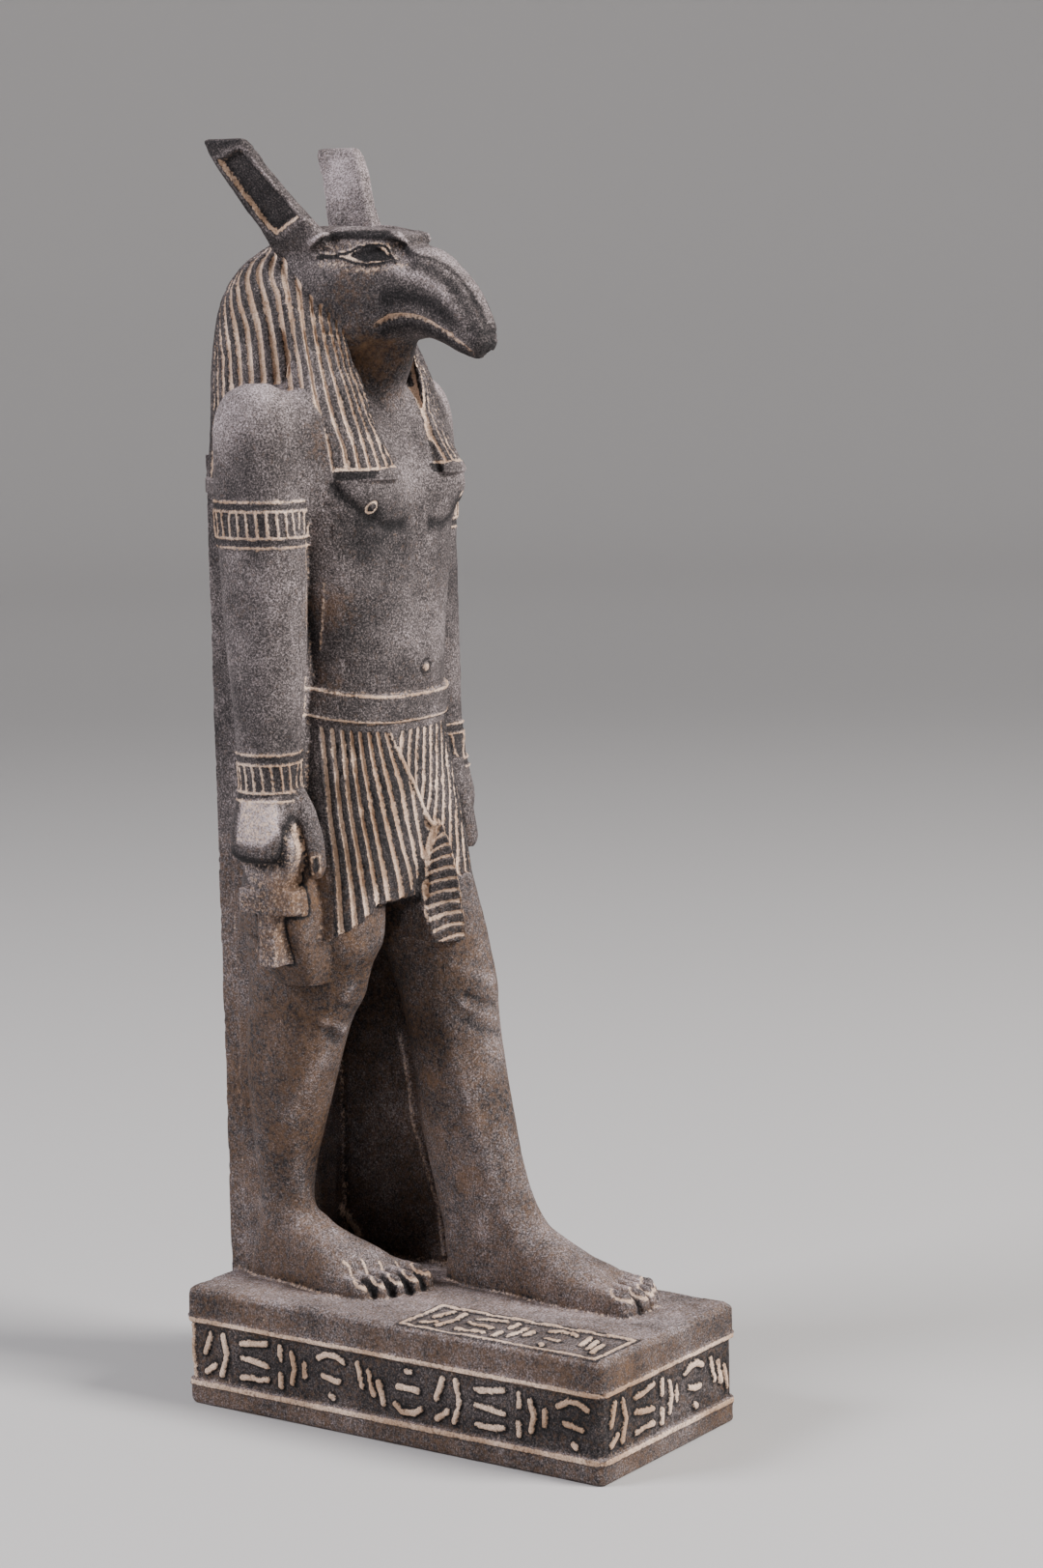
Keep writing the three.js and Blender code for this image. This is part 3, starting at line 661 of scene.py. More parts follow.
# Stone between arm and body, and between shoulder and breast
SIDE_WEB = [
    (326, 30, 12, 31, 52, 4), (204, 31.5, 12.5, 31, 50, 4), (172, 33, 11.4, 26, 48, 4),
    (158, 31, 10, 27, 48, 4), (146, 27, 7, 30, 47, 3),
]
SHOULDER_WEB = [
    (338, 33, 7, 28, 52, 2.4), (331, 33, 9, 22, 54, 2.4), (320, 33.5, 9, 19.6, 54, 2.4),
    (308, 33.5, 8.6, 20.2, 54, 2.4), (297, 33.5, 7, 24, 52, 2.4), (289, 33, 5, 30, 50, 2.4),
]


def web_shells():
    """Back pillar, and the stone left standing between the limbs."""
    base = FLOOR - ROOT
    return [
        block(-PILLAR_HALF, PILLAR_HALF, PILLAR_FRONT, PILLAR_BACK, base, PILLAR_TOP),
        block(26, 30, 9, 77, base, 168), block(-15, 27, 66, 77, base, 176),
        *[tower(mirrored(rows, side)) for rows in (SIDE_WEB, SHOULDER_WEB) for side in (-1, 1)],
    ]


def plinth_shell():
    """Plinth: rectangles with cut corners over its profile of heights and growths."""
    edge = PLINTH_EDGE
    slope = 0.4
    profile = [
        (0, -0.5), (0.8, 0), (BAND_BOTTOM - slope, 0), (BAND_BOTTOM, BAND_RISE),
        (BAND_BOTTOM + BAND_LINE, BAND_RISE), (BAND_BOTTOM + BAND_LINE + slope, -BAND_SUNK),
        (BAND_TOP - BAND_LINE - slope, -BAND_SUNK), (BAND_TOP - BAND_LINE, BAND_RISE),
        (BAND_TOP, BAND_RISE), (BAND_TOP + slope, 0), (FLOOR - edge, 0), (FLOOR, -edge),
    ]
    levels = []
    for z, grow in profile:
        x = WIDTH / 2 - BAND_RISE + grow
        y = LENGTH / 2 - BAND_RISE + grow
        half = [(x - edge, -y), (x, -y + edge), (x, y - edge), (x - edge, y)]
        levels.append([(a * side, b * side, z) for side in (1, -1) for a, b in half])
    return skin(np.array(levels))


def all_shells():
    """Every shell of the statue."""
    ears = [tower(mirrored(NEAR_EAR, -1), 120, 1), tower(FAR_EAR, 120, 1)]
    return [
        plinth_shell(), *web_shells(), *leg_shells(), *foot_shells(), *panel_shells(),
        belt_shell(), apron_shell(),
        tower(TRUNK, FINE, 1, lambda points: muscles(*np.moveaxis(points, -1, 0))),
        *arm_shells(), *ankh_shells(), head_shell(), runner(CROWN, 160, 0.8), tower(NECK),
        *wig_shells(), *lappet_shells(), *ears,
    ]


# One skin from all shells

# Cells of known distance on each side of a surface, the cell that tells where a part lies,
# and how far a point goes towards the mean of its neighbours when hollows are looked for
KNOWN_CELLS = 3.0
PART_CELL = 1.0
HOLLOW_STEP = 0.6


def level_set(points, triangles, quads, cell):
    """Signed distances near the surface, in cells of the given size."""
    return openvdb.FloatGrid.createLevelSetFromPolygons(
        points.astype(np.float32), triangles=triangles.astype(np.uint32),
        quads=quads.astype(np.uint32), transform=openvdb.createLinearTransform(voxelSize=cell),
        halfWidth=KNOWN_CELLS)


def joined(shells):
    """Points, end triangles and walls of several shells as one set."""
    starts = np.cumsum([0] + [len(points) for points, _, _ in shells])
    return (np.vstack([points for points, _, _ in shells]),
            np.vstack([ends + start for (_, _, ends), start in zip(shells, starts)]),
            np.vstack([walls + start for (_, walls, _), start in zip(shells, starts)]))


def united(shells, cell):
    """Outer skin of overlapping shells as points and faces of four, facing outwards."""
    surface, faces = level_set(*joined(shells), cell).convertToQuads()
    surface = surface.astype(float)
    faces = faces.astype(np.int64)
    a, b, c = (surface[faces[:, k]] for k in range(3))
    if np.einsum("ij,ij->i", a, np.cross(b, c)).sum() < 0:
        faces = faces[:, ::-1]
    return surface, faces


def distances(points, triangles, quads, cell, margin):
    """Signed distances on a block of cells around a surface, and its first cell's place."""
    grid = level_set(points, triangles, quads, cell)
    low, high = (np.array(corner) for corner in grid.evalActiveVoxelBoundingBox())
    start = low - margin
    field = np.zeros(high - start + margin + 1, np.float32)
    grid.copyToArray(field, ijk=tuple(int(n) for n in start))
    return field, start * cell


def read_field(field, origin, cell, points):
    """The field at points, mixed from the eight cells around each."""
    place = np.clip((points - origin) / cell, 0, np.array(field.shape) - 1.001)
    index = place.astype(int)
    return mixed(index, place - index, lambda corner: field[tuple(corner.T)])


def distance_from(shells, points):
    """Signed distance of points from the outer skin of some shells, below 0 inside."""
    field, origin = distances(*joined(shells), PART_CELL, 3)
    return read_field(field, origin, PART_CELL, points)


def within(distance, reach):
    """1 within the reach, on both sides of a skin, falling to 0 at its end."""
    return ease((reach - np.abs(distance)) / 0.5 + 0.5)


def on_part(shells, points, reach=0.9):
    """1 on the outer skin of some shells, falling to 0 at the reach from it."""
    return within(distance_from(shells, points), reach)


def neighbour_sums(values, start, end):
    """Sum of the values (n, k) over the points that edges join to each point."""
    count = len(values)
    return np.stack([np.bincount(start, column[end], count) + np.bincount(end, column[start], count)
                     for column in values.T], axis=-1)


class Skin:
    """Points and faces of the statue, with what the carving needs to know of them."""

    def __init__(self, points, faces):
        self.points = points
        self.faces = faces
        edges = np.vstack([faces[:, [k, (k + 1) % 4]] for k in range(4)])
        self.edges = np.unique(np.sort(edges, axis=1), axis=0)
        self.count = np.bincount(self.edges.ravel(), minlength=len(points))

    def normals(self):
        """Outward direction at each point: the sum of its faces' crossed diagonals."""
        p = self.points
        f = self.faces
        across = np.cross(p[f[:, 2]] - p[f[:, 0]], p[f[:, 3]] - p[f[:, 1]])
        total = np.stack([np.bincount(f.ravel(), np.repeat(across[:, k], 4), len(p))
                          for k in range(3)], axis=-1)
        return total / most(np.linalg.norm(total, axis=1, keepdims=True), 1e-12)

    def relax(self, weight, rounds):
        """Moves points towards the mean of their neighbours, by the weight each round."""
        edges = self.edges[(weight[self.edges] > 0).any(axis=1)]
        used, ends = np.unique(edges, return_inverse=True)
        start, end = ends.reshape(-1, 2).T
        points = self.points[used]
        count = self.count[used, None]
        for _ in range(rounds):
            mean = neighbour_sums(points, start, end) / count
            points = points + weight[used, None] * (mean - points)
        self.points[used] = points

    def hollows(self, rounds):
        """How deep each point lies below its surroundings: the outward way to the point
        that the smoothed surface has in its place."""
        smooth = self.points
        start, end = self.edges.T
        for _ in range(rounds):
            mean = neighbour_sums(smooth, start, end) / self.count[:, None]
            smooth = smooth + HOLLOW_STEP * (mean - smooth)
        return np.einsum("ij,ij->i", smooth - self.points, self.normals())


# Finer carving: each function gives, at points of the skin, its push outwards, the sand
# that its lines hold, and how much darker or paler than its surroundings the stone is.
# Much of the darker is painted shade in hollows, folds and under forms, and much of the
# paler is painted highlight on ridges.
# Most of them are products of a bell across a line and smooth steps that end it.

def marks(push=0.0, sand=0.0, dark=0.0, pale=0.0):
    """The four effects of a relief."""
    return push, sand, dark, pale


def band(value, low, high, soft=0.4):
    """1 between two values, with slopes of the given width around them."""
    return ease((value - low) / soft + 0.5) * ease((high - value) / soft + 0.5)


LOCKS_LOW = 309.4


def lock_relief(p, normal, carving):
    """Grooves between the locks, down to the rims of the wig and of the lappets.

    The furrows follow the number of the lock at each point. The ribs between them and the
    bands at the lappets' ends are a little paler.
    """
    x, y, z = p.T
    laid = [lappet_shell(side, LAPPET, LAPPET_RISE) for side in (-1, 1)]
    wig = on_part([tower(WIG, FINE), *laid], p)
    lappet = ease((36 - y) / 2) * ease(33 - np.abs(x))
    low = LOCKS_LOW + (LAPPET_BAND + 0.3 - LOCKS_LOW) * lappet
    groove = furrow(lock_number(p), 0.42 - 0.12 * lappet, 0.34) * wig * ease((z - low) / 0.6)
    rim = bell(z - LAPPET_BAND - 0.4, 0.45) * lappet * wig
    ends = on_part(laid, p, 2.6) * lappet * band(z, LAPPET_LOW, LAPPET_BAND)
    rib = 0.34 * wig * (1 - groove) * ease((z - low) / 0.6)
    return marks(-carving.lock_depth * groove - 0.3 * rim, most(groove, rim),
                 most(rib, 0.8 * ends))


# Eye in the side view, as places along y and heights
UPPER_LID = [(34.5, 380), (33.1, 380.7), (27.2, 381), (23.5, 381.5), (21.4, 382), (19, 383.2),
             (16.3, 383.6), (13.8, 383.9), (12.1, 383.9), (10.7, 383.4), (8.6, 380.9), (5.4, 378.2)]
UPPER_RIM = [(21.6, 379.9), (20.6, 380.7), (18.3, 381.7), (15.9, 382.3), (13.6, 382.5),
             (12.4, 382.3), (11.5, 381.6), (9.9, 380.4), (7.4, 378.9)]
LOWER_RIM = [(21.6, 379.9), (19.8, 379.2), (17.4, 378.3), (14.4, 377.9), (11.6, 378),
             (8.9, 378.3), (7.4, 378.9)]
LOWER_LID = [(34.5, 379.4), (33.5, 378.8), (28.6, 378.8), (25.3, 378.7), (22.4, 377.9), (19.3, 377),
             (16.2, 376.5), (12.8, 376.5), (9.6, 377), (5.4, 378)]
IRIS = (14.8, 380.2, 3.1, 2)
SOCKET_DEPTH, LID_RISE, LID_LINE, BROW_RISE, SLIT_DEPTH = 2.0, 1.1, 0.45, 0.9, 0.75
BROW = [(36, 381.6), (31.5, 383.8), (28.5, 386), (25.1, 386.6), (20.2, 386.7), (15.9, 386.6),
        (11.9, 386.4), (8.8, 385.2), (6.9, 383.8), (5.2, 381.9), (2.1, 380), (-1, 377.8)]
MOUTH = [(14.4, 357.4), (13.1, 358.6), (11.1, 359.8), (8.2, 361.1), (5.1, 361.7), (0.5, 361.3),
         (-3.7, 360), (-8, 357.5), (-12.8, 354.3), (-16.2, 351.9), (-18.6, 349.4)]
# Upper edge of the snout's side, and the pale band along it, a painted highlight
SNOUT_EDGE = [(1.5, 380.2), (-4.7, 378.4), (-9, 376), (-13.1, 372.6), (-16.5, 368.6),
              (-20, 363.1), (-22.2, 358)]
SNOUT_BAND = [(7.6, 376.6), (2.1, 374.1), (-4.1, 371.9), (-10.4, 367.9), (-15.8, 363.3),
              (-20.5, 357.3), (-22.2, 353)]
LIP_RISE, MOUTH_DEPTH, PIT_DEPTH = 0.55, 1.3, 1.3
BEAK_TIP = (0, -23, 350)


def eye_relief(p, normal, carving):
    """Eye on each side of the head, worked out in the side view.

    The socket is deepest right below the brow and fades out under the lower lid. In it
    stand the two lids, which run out to a tail at the back, round a ball with its iris.
    Painted shadow darkens the band under the brow and the band just under the upper lid's
    edge, the socket's tan thins towards the brow as painted shade, and painted highlights
    pale the ridge above the brow and the upper lid's edge.
    """
    y, z = p[:, 1], p[:, 2]
    side = ease((np.abs(p[:, 0]) - 4.5) / 2)
    over, under, brow = (curve_at(line, y) for line in (UPPER_LID, LOWER_LID, BROW))
    along = ease((y - 5) / 1.4) * ease(34.4 - y)
    lid = band(z, under, over, 0.5) * along
    slit = band(z, curve_at(LOWER_RIM, y), curve_at(UPPER_RIM, y)) * band(y, 7.8, 21.2, 0.8)
    middle_y, middle_z, wide, tall = IRIS
    off = np.hypot((y - middle_y) / wide, (z - middle_z) / tall)
    ball = ramp(1 - ((y - middle_y) / 8) ** 2)
    reach = ease((y + 1) / 5) * ease((37 - y) / 6)
    depth = ramp((z - under + 4) / (brow - under + 4))
    socket = ease(brow - z + 0.4) * depth * reach
    ridge = bell(z - brow - 1.6, 1.1) * reach
    shadow = band(z, brow - 0.3, brow + 0.7, 0.5) * reach
    # The dark band just under the upper lid's edge is painted shadow.
    upper = band(z, over - 1.5, over - 0.35, 0.35) * along
    lower = band(z, under + 0.1, under + 1.0, 0.35) * along
    crease = bell(z - over, 0.35) * along
    iris_line = bell((off - 1) * 2.4, 0.4) * slit
    lines = most(upper, lower)
    push = (-SOCKET_DEPTH * socket + LID_RISE * lid + BROW_RISE * ridge - LID_LINE * lines
            - SLIT_DEPTH * slit * (1 - 0.5 * ball) - 0.25 * iris_line)
    inner = lid * (1 - lines) * (1 - slit)
    # Less tan towards the brow: painted shade under it.
    lit = ease((brow - z - 0.4) / 3.5)
    sand = most(0.75 * inner, 0.52 * socket * lit * (1 - lid))
    below = bell(z - under + 1.2, 1.4) * reach * 0.42
    dark = most(slit, upper, 0.95 * lower, 0.85 * shadow)
    # The pale in the return is painted highlight on the ridge above the brow and on the upper lid's
    # edge.
    return marks(push * side, most(sand * (1 - slit), below * (1 - lid)) * side, dark * side,
                 most(0.8 * bell(z - brow - 1.9, 0.7) * reach, 0.5 * crease) * side)


def snout_relief(p, normal, carving):
    """Mouth, the ridge along the snout's upper edge, the pale band on its side and the
    broken tip of the beak, where noise above its middle cuts pits. The pale band and the
    snout's top are painted highlight, and the dark under the lower lip, on the side below
    the edge and along its step is painted shade."""
    y, z = p[:, 1], p[:, 2]
    drop_to = curve_at(MOUTH, y) - z
    ends = ease((14.4 - y) / 2.5) * ease((y + 19.5) / 2)
    lip = bell(drop_to + 1.3, 1.2) * ends
    cut = ease(drop_to / 0.5 + 0.5) * ease((2.4 - drop_to) / 2.2) * ends
    jaw = bell(drop_to - 4.5, 2.2) * ends
    edge = line_distance(p[:, 1:], SNOUT_EDGE)
    # Pale band along the snout's side, a painted highlight.
    worn = line_distance(p[:, 1:], SNOUT_BAND)
    above = ease((z - curve_at(SNOUT_EDGE, y)) / 0.8 + 0.5) * ease((3 - y) / 3)
    beak = bell(lengths(p - BEAK_TIP), 6)
    pits = ease((noise(p, 2.6, 21) - 0.5) / 0.12) * beak
    under_edge = bell(edge - 2.6, 1.8) * (1 - above) * ease((4 - y) / 4)
    patch = bell(drop_to + 5.5, 3.2) * ease((13 - y) / 5) * ease((y + 17) / 6)
    push = (LIP_RISE * lip - MOUTH_DEPTH * cut + 0.3 * jaw + 0.35 * above * bell(edge, 2.5)
            - 0.45 * under_edge - PIT_DEPTH * pits)
    step = bell(edge + above, 0.6) * ease((3 - y) / 3)
    # Painted shade under the lower lip, on the side below the edge and along its step.
    dark = most(0.6 * bell(drop_to - 3.5, 2.0) * ends, 0.75 * beak, 0.7 * under_edge,
                0.7 * patch, 0.8 * step)
    # Painted highlight on the pale band and on the snout's top.
    pale = most(0.5 * bell(worn, 2.6), 0.3 * above)
    return marks(push, cut * 0.95, dark, pale * (1 - beak))


EAR_FIELD = [(60.6, 410.4), (53.2, 413.3), (50.9, 413.6), (35.9, 392.4), (46.3, 387.4),
             (49.1, 389.5)]
EAR_DEPTH = 1.5


def ear_relief(p, normal, carving):
    """Sunk field on the outer face of each ear, darkened within its rim by painted shade; sand
    lies on its lower walls, partly as painted light on walls that face up.
    """
    place = p[:, 1:]
    inside = inside_distance(place, EAR_FIELD)
    outer = ease((np.sign(p[:, 0]) * normal[:, 0] - 0.3) / 0.3)
    field = ease((inside + 0.3) / 0.9) * outer
    lower = line_distance(place, EAR_FIELD[:1] + EAR_FIELD[:2:-1])
    # Tan on the lower walls of the field: partly sand, partly painted light on walls that face up.
    sand = most(0.85 * bell(lower - 0.1, 0.45), 0.3 * bell(inside - 0.3, 0.4)) * outer
    edge = bell(inside - 1.4, 0.7) * outer
    # Painted shade in the sunk field and just inside its rim.
    dark = most(0.45 * ease(inside / 3 + 0.9) * outer, 0.8 * edge)
    return marks(-EAR_DEPTH * field, sand, dark, 0.55 * bell(inside + 1.4, 0.7) * outer)


def ring_line(p, centre, radius):
    """Distance to an ellipse round a centre in a plane, in millimetres."""
    scaled = (p - centre) / radius
    return np.abs(lengths(scaled) - 1) * np.mean(radius)


# Nipple: x and z, half width and height of its ring; the painted shadow disc round it; the navel
NIPPLE, NIPPLE_RING, NIPPLE_SHADOW, NAVEL = (24, 301), (1.5, 1.9), (22.6, 298.8), (0, 248)


def chest_relief(p, normal, carving):
    """Ringed nipples, each with a painted shadow disc, and the navel with a ring of painted shade
    round it.
    """
    facing = ease(-normal[:, 1] * 2)
    front = p[:, ::2]
    ring, shadow_disc = np.zeros((2, len(p)))
    for side in (-1, 1):
        turned = front * (side, 1)
        ring += bell(ring_line(turned, NIPPLE, NIPPLE_RING), 0.32)
        shadow_disc += bell(lengths(turned - NIPPLE_SHADOW), 4.2)
    away = lengths(front - NAVEL)
    navel, shaded_ring = bell(away, 1.0), bell(away - 2.4, 0.7)
    push = 0.25 * shadow_disc - 0.4 * ring + 0.8 * navel - 0.7 * shaded_ring
    # Dark in the return: painted shadow disc below each nipple and painted shade round the navel's
    # knob.
    return marks(push * facing, most(ring, ramp(2 * navel)) * facing,
                 most(0.85 * shadow_disc, 0.4 * shaded_ring) * facing)


def nail_relief(p, normal, carving):
    """Raised nails with a light rim on the toes, from the toes' own rows."""
    nail, rim, gap, streak = np.zeros((4, len(p)))
    up = ease(normal[:, 2] * 2)
    for x, tip, _, half, _ in RIGHT_TOES + LEFT_TOES:
        centre, radius = (x, tip + half * 1.15), np.array((half * 0.62, half * 0.95))
        rim = most(rim, bell(ring_line(p[:, :2], centre, radius), 0.42) * up)
        scaled = lengths((p[:, :2] - centre) / radius)
        nail = most(nail, ease((1 - scaled) * 2) * up)
    for toes in (RIGHT_TOES, LEFT_TOES):
        for (x0, tip0, *_), (x1, tip1, *_) in zip(toes[:-1], toes[1:]):
            start = ((x0 + x1) / 2, max(tip0, tip1) + 1)
            away = np.abs(p[:, 0] - start[0])
            behind = p[:, 1] - start[1]
            # Dark gaps between the toes: painted shade.
            gap = most(gap, bell(away, 0.9) * band(behind, -3, 4, 1.5))
            streak = most(streak, 0.8 * bell(away, 0.5) * band(behind, 4, 11, 1.5))
    return marks(0.3 * nail - 0.35 * rim - 0.6 * gap + 0.2 * streak, most(rim, streak),
                 most(gap, 0.4 * nail * (1 - rim)))


# Bands round the arms: the heights of their lines, and between which two stand the bars
ARM_BANDS = [((304, 301, 292.6, 289.6), (292.8, 300.8)),
             ((223.6, 220.4, 211.4, 208.6), (211.6, 220.2))]
ARM_BAR = 3.0


def arm_relief(p, normal, carving):
    """Armlet and bracelet: cut lines round the arm and upright bars between two of them.

    The way round is the angle in the arm's flattened section times its mean radius.
    """
    x, y, z = p.T
    on_arm = on_part([tower(hang(ARM, side), 160) for side in (-1, 1)], p, 1.1)
    _, middle, half, front, back, _ = at_height(ARM, z).T
    angle = np.arctan2((np.abs(x) - middle) / half, (y - (front + back) / 2) / (back - front) * 2)
    way = angle * (half + (back - front) / 2) / 2
    bar_at = np.abs(way / ARM_BAR - np.round(way / ARM_BAR)) * ARM_BAR
    line, raised = np.zeros((2, len(p)))
    for heights, (low, high) in ARM_BANDS:
        for height in heights:
            line = most(line, bell(z - height, 0.42))
        line = most(line, bell(bar_at, 0.42) * band(z, low, high))
        raised = most(raised, band(z, heights[-1], heights[0], 0.6))
    return marks((0.15 * raised + 0.65 * line) * on_arm, line * on_arm * 0.9,
                 0.35 * raised * (1 - line) * on_arm)


# Kilt: angles in degrees round an upright axis, from the front and on towards the left hand
KILT_AXIS_Y = 38.0
NEAR_NUMBERS = (-10, 1, 3, 5, 7, 9)
NEAR_GUIDES = [
    (232, -140, -69.2, -57, -47, -36.5, -26.5), (220, -140, -67, -55.6, -45.3, -33.2, -19),
    (210, -140, -65.2, -54.3, -43, -29.6, -12), (200, -140, -63.7, -52.5, -40.6, -25.5, -7.5),
    (190, -140, -61.5, -49.8, -37.6, -19.5, 0), (180, -140, -60.3, -47.8, -33.8, -9.5, 8),
    (170, -140, -60, -45.4, -29.8, 0, 14), (160, -140, -59.7, -43, -26, 6, 18),
]
FAR_NUMBERS = (3, 6, 9, 25)
FAR_GUIDES = [
    (230, 0, 22.8, 46, 140), (220, -4.3, 18.3, 40.6, 140), (210, -6.5, 13.4, 36.3, 140),
    (200, -8, 8.5, 31.2, 140), (190, -9, 6, 26.7, 140), (180, -9, 4, 23, 140),
    (160, -9, 2, 18, 140),
]
KILT_BORDER = [(229.8, -28.3), (220.8, -21.3), (214.3, -14.7), (207.5, -7.2), (203.1, -2.1),
               (197.9, 3.8), (194.8, 7.6), (188.6, 6.7), (180.9, 5.2), (177.2, 1.3), (173.7, -4.3)]
DEGREE_WIDE = 0.45


def kilt_relief(p, normal, carving):
    """Grooves between the pleats of both panels, and the raised edge of the upper one."""
    x, y, z = p.T
    kilt = on_part(panel_shells(), p)
    angle = np.degrees(np.arctan2(x, KILT_AXIS_Y - y))
    past = angle - at_height(KILT_BORDER, z)[..., 1]
    number = np.where(past < 0, numbered(angle, z, NEAR_NUMBERS, NEAR_GUIDES),
                      numbered(angle, z, FAR_NUMBERS, FAR_GUIDES))
    kilt = kilt * ease((number - 0.4) / 0.2) * ease((72 - angle) / 2)
    top = ease((233.6 + dip(p) - z) / 1.2)
    edge = bell(past * DEGREE_WIDE, 0.75) * ease((z - 194) / 2) * kilt * top
    groove = furrow(number, 0.36, 0.3) * kilt * top * (1 - ease(1.6 - np.abs(past) * DEGREE_WIDE))
    rib = kilt * top * (1 - groove) * (0.45 + 0.35 * ease((172 - z) / 8))
    return marks(-carving.pleat_depth * groove + 0.7 * edge, most(groove, edge), rib)


# Height of a stripe and that of the lowest one, and how far the stripes' arch hangs
STRIPE, STRIPE_LOW, STRIPE_ARCH = 3.69, 159.5, 2.6


def apron_relief(p, normal, carving):
    """Arched stripes of the apron, lowest near its left edge, and its rims.

    The arch is a square of the way across from the lowest place, at 0.85 of the width.
    """
    x, z = p[:, 0], p[:, 2]
    _, x0, _, x1, _ = at_height(APRON, z).T
    across = ramp((x - x0) / (x1 - x0))
    apron = on_part([apron_shell()], p) * ease(-normal[:, 1] * 3)
    phase = (z + STRIPE_ARCH * ((0.85 - across) / 0.85) ** 2 - STRIPE_LOW) / STRIPE
    groove = furrow(phase, 0.27, 0.24) * apron * band(across, 0.05, 0.95, 0.1)
    rim = bell((0.5 - np.abs(across - 0.5)) * (x1 - x0), 0.5) * apron * ease((z - 163) / 3)
    return marks(-carving.pleat_depth * groove, most(groove, 0.9 * rim), 0.3 * apron,
                 0.5 * groove)


CORD_HIGH, CORD_LOW = 244.6, 236.2


def belt_relief(p, normal, carving):
    """Cord lines along the belt's upper and lower edge."""
    x, y, z = p.T
    front = ease((60 - y) / 8) * ease((36 - np.abs(x)) / 3)
    level = z - dip(p)
    line = most(bell(level - CORD_HIGH, 0.45), bell(level - CORD_LOW, 0.42)) * front
    return marks(0.3 * line, 0.9 * line)


# Strokes in place of writing, in a cell from 0 to 1 across and up: runs of points
STROKES = [
    [((0.2, 0.5), (0.36, 0.84)), ((0.2, 0.16), (0.44, 0.3)),
     ((0.62, 0.16), (0.76, 0.5), (0.68, 0.84))],
    [((0.16, 0.74), (0.34, 0.84), (0.62, 0.84), (0.8, 0.74)), ((0.24, 0.44), (0.74, 0.44)),
     ((0.44, 0.16), (0.56, 0.16))],
    [((0.2, 0.2), (0.32, 0.56)), ((0.48, 0.3), (0.6, 0.66)), ((0.74, 0.42), (0.84, 0.78))],
    [((0.16, 0.24), (0.4, 0.14), (0.64, 0.14), (0.84, 0.22)), ((0.3, 0.5), (0.7, 0.56)),
     ((0.5, 0.82), (0.56, 0.86))],
    [((0.2, 0.62), (0.2, 0.84)), ((0.2, 0.16), (0.2, 0.36)), ((0.82, 0.4), (0.82, 0.62)),
     ((0.5, 0.26), (0.56, 0.5), (0.5, 0.76))],
    [((0.16, 0.76), (0.84, 0.84)), ((0.16, 0.52), (0.84, 0.46)), ((0.16, 0.18), (0.84, 0.22))],
]


def stroke_height(place, length, height, count):
    """1 on the strokes of a row of cells and 0 beside them, and the same for their halo.

    Cell k takes the pattern of its number, upside down in every other round. A point
    looks only at the strokes of its own cell.
    """
    step = length / count
    cell = np.clip(np.floor(place[:, 0] / step), 0, count - 1).astype(int)
    near = np.full(len(place), np.inf)
    for k in range(count):
        mine = cell == k
        inside = place[mine] - (k * step, 0)
        for run in STROKES[(k * 5) % len(STROKES)]:
            chain = np.array(run)
            if (k // 3) % 2:
                chain[:, 1] = 1 - chain[:, 1]
            near[mine] = np.minimum(near[mine], line_distance(inside, chain * (step, height)))
    past = near - SIGN_WIDE / 2
    return ease(-past / 0.7 + 0.5), bell(most(past, 0), 1.1)


def plinth_relief(p, normal, carving):
    """Raised strokes on the long sides and the front of the plinth, between its lines.

    Each face has its facing, the points that lie on it, the way along it, its length, the
    number of its cells and a post at its end. The lines are worn down at the corners.
    """
    low, high = BAND_BOTTOM + BAND_LINE, BAND_TOP - BAND_LINE
    inside = band(p[:, 2], low + 0.2, high - 0.2)
    wobble = (noise(p, 3.5, 31) - 0.5)[:, None] * 0.7
    x, y, z = p.T
    post = ease((0.9 - np.abs(y - LENGTH / 2 + 2.9)) / 0.4 + 0.5)
    x_from, y_from = WIDTH / 2 - 3, LENGTH / 2 - 3
    faces = [
        (-normal[:, 0], -x > x_from, LENGTH / 2 - 5 - y, LENGTH - 9, SIDE_SIGNS, post),
        (normal[:, 0], x > x_from, LENGTH / 2 - 5 - y, LENGTH - 9, SIDE_SIGNS, post),
        (-normal[:, 1], -y > y_from, x + WIDTH / 2 - 3, WIDTH - 6, FRONT_SIGNS, 0),
    ]
    raised, dark, lip = np.zeros((3, len(p)))
    for facing, outer, along, length, count, extra in faces:
        face = ease((facing - 0.6) / 0.2) * outer
        place = np.column_stack([along, z - low]) + wobble
        made, halo = stroke_height(place, length, high - low, count)
        raised += face * (most(made, extra) * inside)
        dark += face * inside * most(0.32, 0.9 * halo)
    past_x = np.abs(x) - WIDTH / 2
    past_y = np.abs(y) - LENGTH / 2
    for height in (BAND_BOTTOM + BAND_LINE / 2, BAND_TOP - BAND_LINE / 2):
        line = band(z, height - BAND_LINE / 2, height + BAND_LINE / 2)
        lip = most(lip, line * (most(past_x, past_y) > -2.5))
    worn = lip * ease((past_x + 3) / 2) * ease((past_y + 3) / 2)
    sand = most(raised, 0.85 * lip)
    return marks(carving.sign_rise * raised - 0.8 * worn, sand * 0.9, dark)


